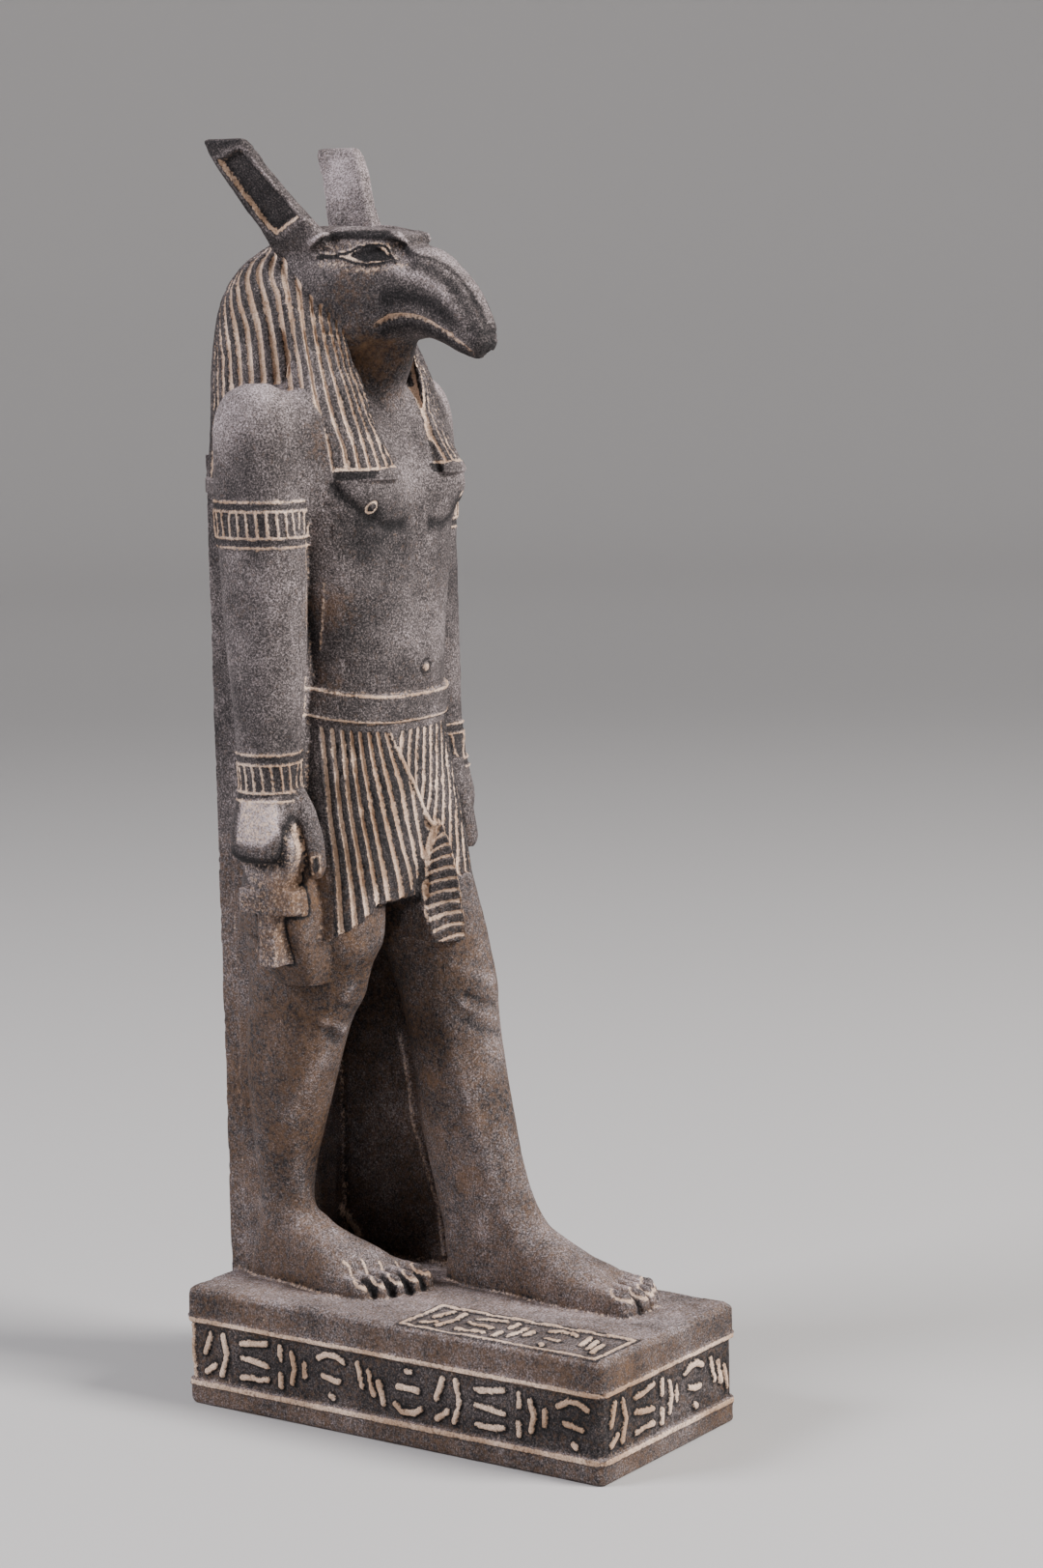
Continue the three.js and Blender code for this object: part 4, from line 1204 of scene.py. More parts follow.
def panel_relief(p, normal, carving):
    """Panel on top of the plinth: a raised frame line round a row of strokes."""
    (x0, x1), (y0, y1) = PANEL_X, PANEL_Y
    top = ease((normal[:, 2] - 0.7) / 0.2) * (np.abs(p[:, 2] - FLOOR) < 1.5)
    inside = inside_distance(p[:, :2], [(x0, y0), (x1, y0), (x1, y1), (x0, y1)])
    line = band(inside, 0, PANEL_LINE)
    place = np.column_stack([y1 - 3 - p[:, 1], p[:, 0] - x0 - PANEL_LINE])
    made, halo = stroke_height(place, y1 - y0 - 6, x1 - x0 - PANEL_LINE * 2, PANEL_SIGNS)
    made = made * ease((inside - 2.2) / 0.4)
    sunk = ease((inside - PANEL_LINE) / 0.5)
    push = PANEL_RISE * most(line, made) - 0.25 * sunk * (1 - made)
    beside = most(halo * sunk, bell(inside - PANEL_LINE - 0.6, 0.7), 0.35 * sunk,
                  bell(inside + 0.6, 0.5))
    return marks(push * top, most(line, made) * top * 0.95, 0.85 * beside * (1 - line) * top)


# Back of the fist in the side view, and the hollow below it, darkened by painted shadow
FIST_BACK = [(43.5, 208.9), (30.4, 210.1), (28.6, 199.2), (34.1, 194.5), (44.4, 195.3)]
FIST_HOLLOW = (-49.5, 38, 188.4)


def ankh_relief(p, normal, carving):
    """Sandy face of the ankh with painted shade on the stone round it, painted shadow in the hollow
    below the fist, and the pale back of the fist.
    """
    away = distance_from(ankh_shells(), p)
    face = within(away, 0.9)
    shaded_ring = ease((2.3 - away) / 1.2) * (1 - face)
    back = ease(inside_distance(p[:, 1:], FIST_BACK) / 3 + 0.5) * ease((-44 - p[:, 0]) / 2)
    # Painted shadow in the hollow below the fist.
    hollow = bell(lengths((p - FIST_HOLLOW) / (1, 2, 1)), 2.6)
    return marks(-0.6 * hollow - 0.3 * shaded_ring, most(0.27 * face, 0.42 * back),
                 most(0.95 * shaded_ring, hollow), most(1.3 * back, 0.25 * face))


# Forms that run along a line on the body: width, push, sand, darkness, paleness, points.
# The darkness is mostly painted shade in folds and grooves, under the breasts and under
# the fist, and the paleness mostly painted highlight on ridges, knees, shins and ankles.
BODY_LINES = [
    (2, -0.7, 0, 0.8, 0, [(-33, 17, 308), (-28.9, 12.3, 302), (-24, 10.4, 297.6),
     (-16, 8.8, 294.6), (-7, 8.6, 294.6)]),
    (2, -0.7, 0, 0.8, 0, [(33, 17, 308), (28.9, 12.3, 301), (24, 10.4, 296), (16, 8.8, 293),
     (8, 8.6, 293.4)]),
    (7, -0.3, 0, 0, 0.15, [(0, 14, 328), (0.9, 11.2, 316.5), (0.8, 8.9, 301), (2.8, 9.2, 288.4),
     (4, 8.9, 275.8), (4.6, 8.1, 263.3)]),
    (2.4, 0.8, 0, 0, 0.5, [(-18.7, 28.3, 140.4), (-18, 27, 143)]),
    (1.6, 0.7, 0, 0, 0.45, [(-22, 35.3, 131.9), (-18.7, 33.9, 130.8), (-13, 34.4, 127.7)]),
    (2.4, -0.7, 0, 0.6, 0, [(-20, 34.5, 127.5), (-14, 35.4, 124)]),
    (1.6, -0.7, 0, 0.5, 0, [(-22, 30, 137), (-16, 29, 135.5)]),
    (1.5, 0.6, 0, 0, 0.5, [(8.6, 0.7, 135.7), (12.8, -2.1, 132.6), (20.5, -3.2, 129)]),
    (1.4, -0.6, 0, 0.5, 0, [(9, 0, 139), (14, -2.5, 136.4), (21, -3.3, 133.4)]),
    (1.8, 0.5, 0, 0, 0.45, [(7.3, 3.3, 148.6), (15.3, -2.5, 143.9), (20, -3, 142.6)]),
    (1.8, -0.5, 0, 0.5, 0, [(9, 0.5, 130), (14, -2.6, 127), (22, -3.4, 124)]),
    (2.6, 0.6, 0, 0, 0.3, [(6.6, 3.7, 118), (8.7, -2.2, 100.2), (9.6, -6.9, 84.3),
     (9.7, -12.3, 68.6), (7, -23.5, 54.5)]),
    (3, 0.5, 0, 0, 0.3, [(-19.3, 39.9, 117.3), (-22.5, 50.2, 100.5), (-15.2, 52.9, 72.2),
     (-7.8, 48.9, 61)]),
    (4, 1, 0, 0, 0.3, [(-17.2, 51.8, 59.5), (-17.4, 52.4, 58)]),
    (3.6, 0.8, 0, 0, 0.4, [(8.1, -5.4, 61.5), (8, -6, 60)]),
    (1.3, 0.8, 0.4, 0, 0.5, [(26, 40, 118), (26, 36.7, 102), (26, 35.5, 88.7), (26, 32.1, 79.1),
     (26, 28.4, 67.8), (26, 25.4, 59.7), (26, 23.7, 44)]),
    (1.8, 0.8, 0.85, 0, 0, [(23.9, 66, 54.7), (26, 64, 50.4), (26, 59.9, 46)]),
    (0.6, 0, 0.7, 0, 0, [(-36.9, 25, 291), (-36.8, 26, 279), (-37, 26.3, 263)]),
    (0.6, 0, 0.7, 0, 0, [(-31.7, 31, 247), (-32.7, 31.1, 235.4)]),
    (0.6, 0.2, 0.6, 0, 0, [(-30.8, 22.9, 277), (-29.5, 25.1, 266), (-28.3, 27.2, 255.7)]),
    (2, 0, 0, 0.9, 0, [(-51.8, 48, 190.6), (-51, 38, 189.6), (-48.9, 29, 189.6)]),
    (1.3, -0.3, 0, 0.85, 0, [(-45.5, 27.6, 203.5), (-48, 27.9, 199.1), (-49.3, 29, 193.6),
     (-48, 30.6, 189.2)]),
    (0.9, -0.5, 0, 0.85, 0, [(-44.5, 27.8, 203.6), (-42.3, 26.8, 200.2), (-42, 25, 192.8),
     (-41.6, 23.7, 185)]),
    (1.7, 0, 0.8, 0, 0.4, [(-44.3, 27, 200), (-43.4, 25.9, 193), (-44, 25.5, 187)]),
    (1.2, 0.5, 0, 0, 0.7, [(-46.6, 27, 196), (-47, 27.6, 190.5)]),
    (0.5, 0.3, 0.95, 0, 0.3, [(-41.5, 22.8, 190.4), (-39.6, 21.4, 190.8), (-39.8, 21, 185.6),
     (-41.4, 22.8, 185), (-41.5, 22.8, 190.4)]),
    (1, 0, 0, 0.6, 0, [(-40.6, 21.8, 189.5), (-40.6, 21.8, 186.3)]),
]


def body_relief(p, normal, carving):
    """Folds, ridges and edges of the body along their lines, by a bell across each, with painted
    shade in the folds and painted highlight on the ridges.
    """
    push, sand, dark, pale = np.zeros((4, len(p)))
    for width, lift, held, deep, light, chain in BODY_LINES:
        low = np.min(chain, axis=0) - 3 * width
        high = np.max(chain, axis=0) + 3 * width
        near = np.all((p > low) & (p < high), axis=1)
        strength = bell(line_distance(p[near], chain), width)
        push[near] += lift * strength
        sand[near] = most(sand[near], held * strength)
        dark[near] = most(dark[near], deep * strength)
        pale[near] = most(pale[near], light * strength)
    return marks(push, sand, dark, pale)


# Reliefs, each with the corners of the box in which it works
RELIEFS = [
    ((-34, 6, 306, 34, 86, 390), lock_relief), ((-22, -8, 370, 22, 42, 394), eye_relief),
    ((-18, -28, 344, 18, 18, 386), snout_relief), ((-38, 28, 380, 38, 70, 420), ear_relief),
    ((-34, -2, 236, 34, 20, 312), chest_relief), ((-30, -72, 40, 40, 40, 52), nail_relief),
    ((-56, 16, 206, 56, 58, 306), arm_relief), ((-36, 0, 156, 36, 72, 238), kilt_relief),
    ((-2, -8, 156, 14, 10, 198), apron_relief), ((-36, 0, 226, 36, 66, 250), belt_relief),
    ((-45, -90, 0, 45, 90, 38), plinth_relief), ((-42, -86, 36, 0, 2, 42), panel_relief),
    ((-60, 18, 150, -34, 56, 214), ankh_relief), ((-60, -40, 40, 60, 75, 335), body_relief),
]


def carve(stone, carving):
    """Cuts the finer relief into the skin; gives the sand, dark and pale that it brings, much
    of the dark painted shade and much of the pale painted highlight.
    """
    count = len(stone.points)
    normal = stone.normals()
    push, sand, dark, pale = np.zeros((4, count))
    for box, relief in RELIEFS:
        near = np.flatnonzero(np.all((stone.points > box[:3]) & (stone.points < box[3:]), axis=1))
        lift, held, deep, light = relief(stone.points[near], normal[near], carving)
        push[near] += lift
        sand[near] = most(sand[near], held)
        dark[near] = most(dark[near], deep)
        pale[near] = most(pale[near], light)
    stone.points = stone.points + push[:, None] * normal
    return sand, dark, pale


# Where the limbs flow into each other: the two ends, reach and rounds of the smoothing
SOFT_SPOTS = [
    ((-32, 24, 336), (-32, 18, 306), 10, 160), ((-36, 24, 338), (-36, 21, 306), 9, 160),
    ((32, 24, 336), (32, 18, 306), 10, 160), ((-32, 20, 300), (-31, 24, 252), 5, 60),
    ((32, 20, 300), (31, 24, 252), 5, 60), ((-30, 50, 338), (-41, 54, 336), 10, 60),
    ((30, 50, 338), (41, 54, 336), 10, 60), ((0, 20, 334), (0, 26, 350), 14, 60),
    ((-19, 44, 385), (-19, 50, 387), 8, 30), ((19, 44, 385), (19, 50, 387), 8, 30),
    ((-11, 60, 60), (-11, 40, 56), 14, 80), ((17, 0, 60), (17, -24, 56), 15, 80),
    ((-14, 24, 150), (-14, 34, 132), 16, 40), ((18, -1, 150), (18, 0, 132), 16, 40),
    ((0, 6, 384), (0, -2, 380), 7, 20), ((-42, 32, 208), (-42, 46, 208), 9, 40),
    ((41, 28, 208), (41, 42, 208), 9, 40), ((-14, 60, 110), (-13, 62, 60), 6, 40),
    ((-37, 24, 200), (-37, 22, 186), 6, 12), ((-31, 50, 417), (-31, 66, 417), 4, 30),
    ((29.6, 52, 415), (29.6, 67, 415), 4, 30),
]


SOFT_WEIGHT, SOFT_CELL = 0.65, 0.5


def soften(stone, cell):
    """Smooths the joins between the limbs where the stone flows from one to the next.

    The rounds are for points half a millimetre apart, and fewer are needed the further
    apart they lie, by the square of the cell.
    """
    for start, end, reach, rounds in SOFT_SPOTS:
        away = line_distance(stone.points, (start, end)) / reach
        stone.relax(SOFT_WEIGHT * ease((1 - away) * 1.6), int(rounds * (SOFT_CELL / cell) ** 2))


# Depth of chips and knocks, and height of the unevenness from lowest to highest
CHIP_DEPTH, KNOCK_DEPTH, UNEVEN = 0.7, 0.25, 0.4


def wear(stone):
    """Knocks worn spots off the edges, and leaves the whole surface a little uneven."""
    edge = ramp(-stone.hollows(6) / 0.25)
    p = stone.points
    chips = ease((layered(p, 5.0, 3) - 0.54) / 0.14) * edge
    uneven = (layered(p, 9.0, 5) - 0.5) * UNEVEN
    knocks = ease((noise(p, 3.4, 9) - 0.8) / 0.1) * KNOCK_DEPTH
    above_base = ease(p[:, 2] / 1.5)
    push = (uneven - CHIP_DEPTH * chips - knocks) * above_base
    stone.points = p + push[:, None] * stone.normals()
    return chips


# Dust and painted highlight, dirt and painted shade, and stain

def blur(field, reach):
    """Mean over cubes of 2·reach + 1 cells, by running sums along each axis in turn."""
    for axis in range(3):
        pad = [(reach + 1, reach) if a == axis else (0, 0) for a in range(3)]
        total = np.cumsum(np.pad(field, pad, mode="edge"), axis=axis)
        ahead = np.take(total, range(2 * reach + 1, total.shape[axis]), axis=axis)
        behind = np.take(total, range(0, total.shape[axis] - 2 * reach - 1), axis=axis)
        field = (ahead - behind) / (2 * reach + 1)
    return field


# Cell in mm, reach of the blur in cells and way out in mm at which crowding is read
CROWD_CELL, CROWD_REACH, CROWD_OUT = 1.5, 4, 6.0


def crowding(stone):
    """Share of stone in the room in front of each point, from 0 in the open to 1.

    The stone is filled in on a coarse grid, blurred, and read a little way out.
    """
    field, origin = distances(stone.points, np.zeros((0, 3)), stone.faces, CROWD_CELL,
                              2 * CROWD_REACH)
    filled = blur((field < 0).astype(float), CROWD_REACH)
    ahead = stone.points + stone.normals() * CROWD_OUT
    return read_field(filled, origin, CROWD_CELL, ahead)


# Patches of tone on the body: middle x, y and z, reach, paleness, darkness and ochre.
# The paleness is mostly painted highlight on sides that face the lights, such as the far
# ear, the chest and the belly, with the shoulders' dust partly painted top light too; the
# darkness is mostly painted shade between the limbs and under the breasts; ochre is stain.
TONES = [
    (-42, 40, 338, 20, 0.75, 0, 0), (42, 38, 338, 17, 0.7, 0, 0), (26, 54, 402, 18, 0.9, 0, 0),
    (-26, 54, 402, 22, 0, 0.5, 0), (0, 8, 312, 15, 0.35, 0, 0), (24, 8, 312, 14, 0.3, 0, 0),
    (2, 5, 262, 9, 0.1, 0, 0), (-8, 6, 256, 8, 0.2, 0, 0), (-23, 9, 297, 6, 0, 0.9, 0),
    (-43, 32, 285, 22, 0.28, 0, 0), (-43, 32, 245, 22, 0.28, 0, 0), (-2, -8, 380, 12, 0.15, 0, 0),
    (-16, 22, 366, 12, 0, 0.3, 0.45), (-8, 20, 350, 14, 0, 0.4, 0.8),
    (-12, 24, 356, 12, 0, 0, 0.7), (-24, 10, 290, 10, 0, 0.65, 0.1),
    (-22, 12, 270, 12, 0, 0.35, 0.2), (-26, 40, 140, 26, 0, 0.4, 0.25),
    (-22, 50, 95, 22, 0, 0.3, 0.2), (0, 30, 130, 26, 0, 0.45, 0.2), (26, 42, 80, 22, 0.3, 0, 0),
    (-5, 45, 80, 22, 0, 0.25, 0.2), (20, 0, 120, 16, 0.35, 0, 0.15),
    (17, -45, 52, 16, 0.35, 0, 0), (-12, 30, 54, 12, 0.2, 0, 0), (-40, 28, 178, 15, 0, 0, 1),
    (-44, 34, 166, 14, 0, 0, 0.8), (-31, 20, 322, 9, 0, 0.3, 0.6), (-31, 22, 270, 9, 0, 0.1, 0.8),
    (-31, 24, 245, 9, 0, 0.2, 0.6), (-15, 20, 378, 12, 0.2, 0, 0.45),
    (0, 24, 340, 12, 0, 0.2, 0.6), (-24, 22, 165, 14, 0, 0.2, 0.8),
    (-8, 18, 86, 16, 0, 0.2, 0.35), (-26, -84, 34, 9, 0, 0, 0.8), (6.4, 12.8, 110, 7, 0, 0, 0.9),
    (9, -2.6, 98, 8, 0, 0, 0.7), (8, -1, 76, 8, 0, 0, 0.9), (-24, 42, 112, 12, 0, 0, 0.6),
    (-22, 54, 90, 12, 0, 0, 0.7), (12, 2, 160, 14, 0, 0, 0.6), (-44, 30, 214, 10, 0, 0, 0.35),
    (-18, 58, 344, 16, 0, 0.15, 0.4), (-38, 52, 330, 9, 0, 0, 0.5),
]


def toned(p):
    """Paleness, darkness and ochre of the patches: for each the largest of its bells."""
    total = np.zeros((3, len(p)))
    for *middle, reach, pale, dark, ochre in TONES:
        near = np.flatnonzero(np.abs(p - middle).max(axis=1) < 2 * reach)
        strength = bell(lengths(p[near] - middle), reach)
        for values, peak in zip(total, (pale, dark, ochre)):
            values[near] = most(values[near], peak * strength)
    return total


def weathering(stone, sand, dark, pale, chips):
    """Attributes that the stone's material reads at each point, each from 0 to 1.

    sand: tan sand in hollows and on the lines that the carving marks. dust_and_highlight:
    pale dust on what faces up, partly painted top light, and painted highlight on the pale
    patches and marks. grime_and_shade: painted shade where stone crowds round, and the dark
    patches and marks, mostly painted shade. ochre: stain, more of it below the belt. edge:
    paler convex edges, partly rubbed wear and partly painted highlight.
    """
    p = stone.points
    normal = stone.normals()
    fine = stone.hollows(5)
    broad = stone.hollows(40)
    crowd = crowding(stone)
    patches = layered(p, 14.0, 11)
    small = layered(p, 5.0, 12)
    light, deep, stain = toned(p)
    crease = ramp((fine - 0.03) / 0.12) * ease((small - 0.35) / 0.3)
    hollow = ramp(broad / 0.9)
    settled = most(0.4 * crease, 0.7 * hollow * patches) * (1 - dark)
    held = most(sand * (0.8 + 0.4 * small), settled)
    # Paler on what faces up, partly dust and partly painted top light; the pale patches and marks
    # are mostly painted highlight.
    up = ramp(normal[:, 2])
    dust_and_highlight = most(up ** 1.5 * (0.3 + 0.55 * patches), pale, light)
    # Painted shade where stone crowds round a point: in recesses and between the limbs.
    sheltered = 0.7 * ease((crowd - 0.24) / 0.42)
    grime_and_shade = most(sheltered, dark, deep * (0.6 + 0.8 * patches))
    wash = 0.36 * ease((215 - p[:, 2]) / 60) + 0.16
    ochre = most(stain * (0.4 + 1.2 * small), wash * (0.5 + patches))
    ochre = ochre * (1 - 0.65 * ease((crowd - 0.4) / 0.25) * ease((150 - p[:, 2]) / 10))
    return {
        "sand": ramp(held),
        "dust_and_highlight": ramp(dust_and_highlight * (1 - 0.5 * dark)),
        "grime_and_shade": ramp(grime_and_shade * (1 - 0.6 * most(pale, light))),
        "ochre": ramp(ochre * (1 - dark)),
        # Paler on convex edges: partly rubbed wear, partly painted highlight.
        "edge": ramp(-(fine + 0.04) / 0.16) * (1 - 0.5 * chips),
    }


# Mesh

ATTRIBUTES = ("sand", "dust_and_highlight", "grime_and_shade", "ochre", "edge")
# Pieces of the statue from the bottom up, and the heights between them
PIECES = ("statue_plinth", "statue_feet", "statue_legs", "statue_kilt", "statue_chest",
          "statue_head")
CUTS = (34.0, 104.0, 178.0, 246.0, 330.0)
PIECE_LIMIT = 199000
# How near a cut a point is taken to lie on it, in metres and then in mm
CUT_TOUCH, RIM_TOUCH = 1e-7, 0.01


def placed(name, data):
    """New object in the scene for a mesh, a light or a camera."""
    obj = bpy.data.objects.new(name, data)
    bpy.context.scene.collection.objects.link(obj)
    return obj


def filled_mesh(name, points, faces, attributes):
    """Blender mesh in metres of faces with equally many corners, with the attributes."""
    mesh = bpy.data.meshes.new(name)
    count, corners = faces.shape
    mesh.vertices.add(len(points))
    mesh.vertices.foreach_set("co", (points * MM).astype(np.float32).ravel())
    mesh.loops.add(count * corners)
    mesh.loops.foreach_set("vertex_index", faces.astype(np.int32).ravel())
    mesh.polygons.add(count)
    mesh.polygons.foreach_set("loop_start", np.arange(count, dtype=np.int32) * corners)
    for key in ATTRIBUTES:
        layer = mesh.attributes.new(key, "FLOAT", "POINT")
        layer.data.foreach_set("value", attributes[key].astype(np.float32))
    mesh.update(calc_edges=True)
    return mesh


def thinned(mesh, limit):
    """The mesh reduced to the number of triangles, by a Decimate modifier."""
    obj = placed(mesh.name, mesh)
    modifier = obj.modifiers.new("Thin", "DECIMATE")
    modifier.ratio = min(1.0, limit / (len(mesh.polygons) * 2))
    modifier.use_collapse_triangulate = True
    graph = bpy.context.evaluated_depsgraph_get()
    final = bpy.data.meshes.new_from_object(obj.evaluated_get(graph))
    bpy.data.objects.remove(obj)
    bpy.data.meshes.remove(mesh)
    return final


def sliced(mesh):
    """Cuts the mesh's faces along the heights between the pieces, and into triangles."""
    work = bmesh.new()
    work.from_mesh(mesh)
    for height in CUTS:
        near = [face for face in work.faces
                if min(v.co.z for v in face.verts) < height * MM < max(v.co.z for v in face.verts)]
        parts = near + list({edge for face in near for edge in face.edges})
        parts += list({vertex for face in near for vertex in face.verts})
        bmesh.ops.bisect_plane(work, geom=parts, dist=CUT_TOUCH, plane_co=(0, 0, height * MM),
                               plane_no=(0, 0, 1))
    bmesh.ops.triangulate(work, faces=[face for face in work.faces if len(face.verts) > 3])
    work.to_mesh(mesh)
    work.free()


def read_mesh(mesh):
    """Points in millimetres, triangles, directions at the points and attributes."""
    count = len(mesh.vertices)
    points = np.empty(count * 3, np.float32)
    mesh.vertices.foreach_get("co", points)
    faces = np.empty(len(mesh.polygons) * 3, np.int32)
    mesh.loops.foreach_get("vertex_index", faces)
    directions = np.empty(count * 3, np.float32)
    mesh.vertex_normals.foreach_get("vector", directions)
    attributes = {}
    for key in ATTRIBUTES:
        attributes[key] = np.empty(count, np.float32)
        mesh.attributes[key].data.foreach_get("value", attributes[key])
    return (points.reshape(-1, 3).astype(float) / MM, faces.reshape(-1, 3),
            directions.reshape(-1, 3), attributes)


def rims(faces):
    """Chains of points along the open edges of the faces, each run round its hole."""
    ends = np.vstack([faces[:, [k, (k + 1) % 3]] for k in range(3)]).astype(np.int64)
    key = ends.min(axis=1) * (faces.max() + 1) + ends.max(axis=1)
    _, index, count = np.unique(key, return_index=True, return_counts=True)
    after = dict(ends[index[count == 1]].tolist())
    chains = []
    while after:
        start, point = after.popitem()
        chain = [start]
        while point != start:
            chain.append(point)
            point = after.pop(point)
        chains.append(chain)
    return chains


def capped(points, faces, height, up):
    """Triangles that close the faces' open rims at a height, facing up or down.

    A triangle on a rim runs along it against the face beyond, and the others are turned
    by the sign of their area.
    """
    chains = [chain for chain in rims(faces) if abs(points[chain[0], 2] - height) < RIM_TOUCH]
    index = np.concatenate([np.array(chain) for chain in chains])
    outlines = [[Vector(points[k]) for k in chain] for chain in chains]
    lids = index[np.array(tessellate_polygon(outlines))]
    a, b, c = (points[lids[:, k], :2] for k in range(3))
    turned = (b - a)[:, 0] * (c - a)[:, 1] - (b - a)[:, 1] * (c - a)[:, 0]
    after = np.concatenate([np.roll(chain, -1) for chain in chains])
    rim = index * len(points) + after
    onward = np.roll(lids, -1, axis=1)
    along = np.isin(lids * len(points) + onward, rim).any(axis=1)
    against = np.isin(onward * len(points) + lids, rim).any(axis=1)
    wrong = np.where(along | against, along, (turned > 0) != up)
    lids[wrong] = lids[wrong][:, ::-1]
    return lids


def pieces_of(mesh):
    """One closed object for each stretch between the cuts.

    The walls keep the directions of the whole skin, so that no seam shows, and the lids
    between two pieces are flat.
    """
    points, faces, directions, attributes = read_mesh(mesh)
    bpy.data.meshes.remove(mesh)
    level = np.searchsorted(CUTS, points[faces, 2].mean(axis=1))
    ends = (None, *CUTS, None)
    made = []
    for k, name in enumerate(PIECES):
        walls = faces[level == k]
        lids = [walls]
        ways = [directions[walls.ravel()]]
        for height, up in ((ends[k + 1], 1), (ends[k], -1)):
            if height is not None:
                lid = capped(points, walls, height, up > 0)
                lids.append(lid)
                ways.append(np.tile((0, 0, up), (len(lid) * 3, 1)))
        used, index = np.unique(np.vstack(lids), return_inverse=True)
        index = index.reshape(-1, 3)
        if len(index) > PIECE_LIMIT:
            raise RuntimeError(f"{name} has {len(index)} triangles")
        part = filled_mesh(name, points[used], index,
                           {key: values[used] for key, values in attributes.items()})
        part.polygons.foreach_set("use_smooth", np.ones(len(index), bool))
        part.normals_split_custom_set(np.vstack(ways).tolist())
        made.append(placed(name, part))
    return made


# Material

# Sizes of the stone's blotches and clouds and of the breaks in its stains and its sand, in mm
BLOTCH, CLOUD, OCHRE_BREAK, SAND_BREAK = 4.5, 24, 1.6, 1.1
# How much cloud, blotch, grain and fine grain move the tone, and each mask towards its side
NOISE_WEIGHTS = (0.7, 0.26, 1.35, 0.55)
# The dust mask carries painted highlight too, the edge mask painted edge highlight besides wear,
# and the grime mask painted shade.
DUST_HIGHLIGHT_WEIGHT, EDGE_WEAR_HIGHLIGHT_WEIGHT, GRIME_SHADE_WEIGHT = 0.42, 0.12, -0.46
# Height of the grain in mm, and the mask's strength from which no noise breaks it up
BUMP_HEIGHT, BREAK_REACH = 0.7, 0.62


class Nodes:
    """Short ways to add and link nodes in one tree."""

    def __init__(self, tree):
        self.tree = tree

    def add(self, kind, links=None, **values):
        node = self.tree.nodes.new(kind)
        for key, value in values.items():
            setattr(node, key, value)
        for key, value in (links or {}).items():
            self.feed(node.inputs[key], value)
        return node

    def feed(self, socket, value):
        if isinstance(value, bpy.types.NodeSocket):
            self.tree.links.new(value, socket)
        else:
            socket.default_value = value

    def math(self, operation, a, b=None, c=None, clamp=False):
        node = self.add("ShaderNodeMath", operation=operation, use_clamp=clamp)
        for socket, value in zip(node.inputs, (a, b, c)):
            if value is not None:
                self.feed(socket, value)
        return node.outputs[0]

    def mix(self, factor, a, b):
        node = self.add("ShaderNodeMix", data_type="RGBA")
        for index, value in ((0, factor), (6, a), (7, b)):
            self.feed(node.inputs[index], value)
        return node.outputs[2]

    def shades(self, value, colours):
        node = self.add("ShaderNodeValToRGB", {"Fac": value})
        stops = node.color_ramp.elements
        while len(stops) < len(colours):
            stops.new(0.5)
        for k, colour in enumerate(colours):
            stops[k].position = k / (len(colours) - 1)
            stops[k].color = colour
        return node.outputs["Color"]

    def ramp(self, value, low, high):
        node = self.add("ShaderNodeMapRange", {"Value": value, "From Min": low, "From Max": high},
                        interpolation_type="SMOOTHSTEP")
        return node.outputs["Result"]

    def noise(self, vector, scale, detail, rough):
        node = self.add("ShaderNodeTexNoise", {"Vector": vector, "Scale": scale, "Detail": detail,
                                               "Roughness": rough})
        return node.outputs["Fac"]

    def attribute(self, name):
        return self.add("ShaderNodeAttribute", attribute_name=name).outputs["Fac"]


def broken_group():
    """Group that breaks a mask up: it keeps the mask where the mask beats the noise."""
    group = bpy.data.node_groups.new("Broken mask", "ShaderNodeTree")
    for name in ("Mask", "Vector", "Scale", "Softness"):
        kind = "NodeSocketVector" if name == "Vector" else "NodeSocketFloat"
        group.interface.new_socket(name, in_out="INPUT", socket_type=kind)
    group.interface.new_socket("Mask", in_out="OUTPUT", socket_type="NodeSocketFloat")
    given = group.nodes.new("NodeGroupInput").outputs
    made = group.nodes.new("NodeGroupOutput").inputs
    n = Nodes(group)
    grain = n.ramp(n.noise(given["Vector"], given["Scale"], 3.0, 0.6), 0.25, 0.75)
    gap = n.math("SUBTRACT", given["Mask"], n.math("MULTIPLY", grain, BREAK_REACH))
    n.feed(made["Mask"], n.math("DIVIDE", gap, given["Softness"], clamp=True))
    return group


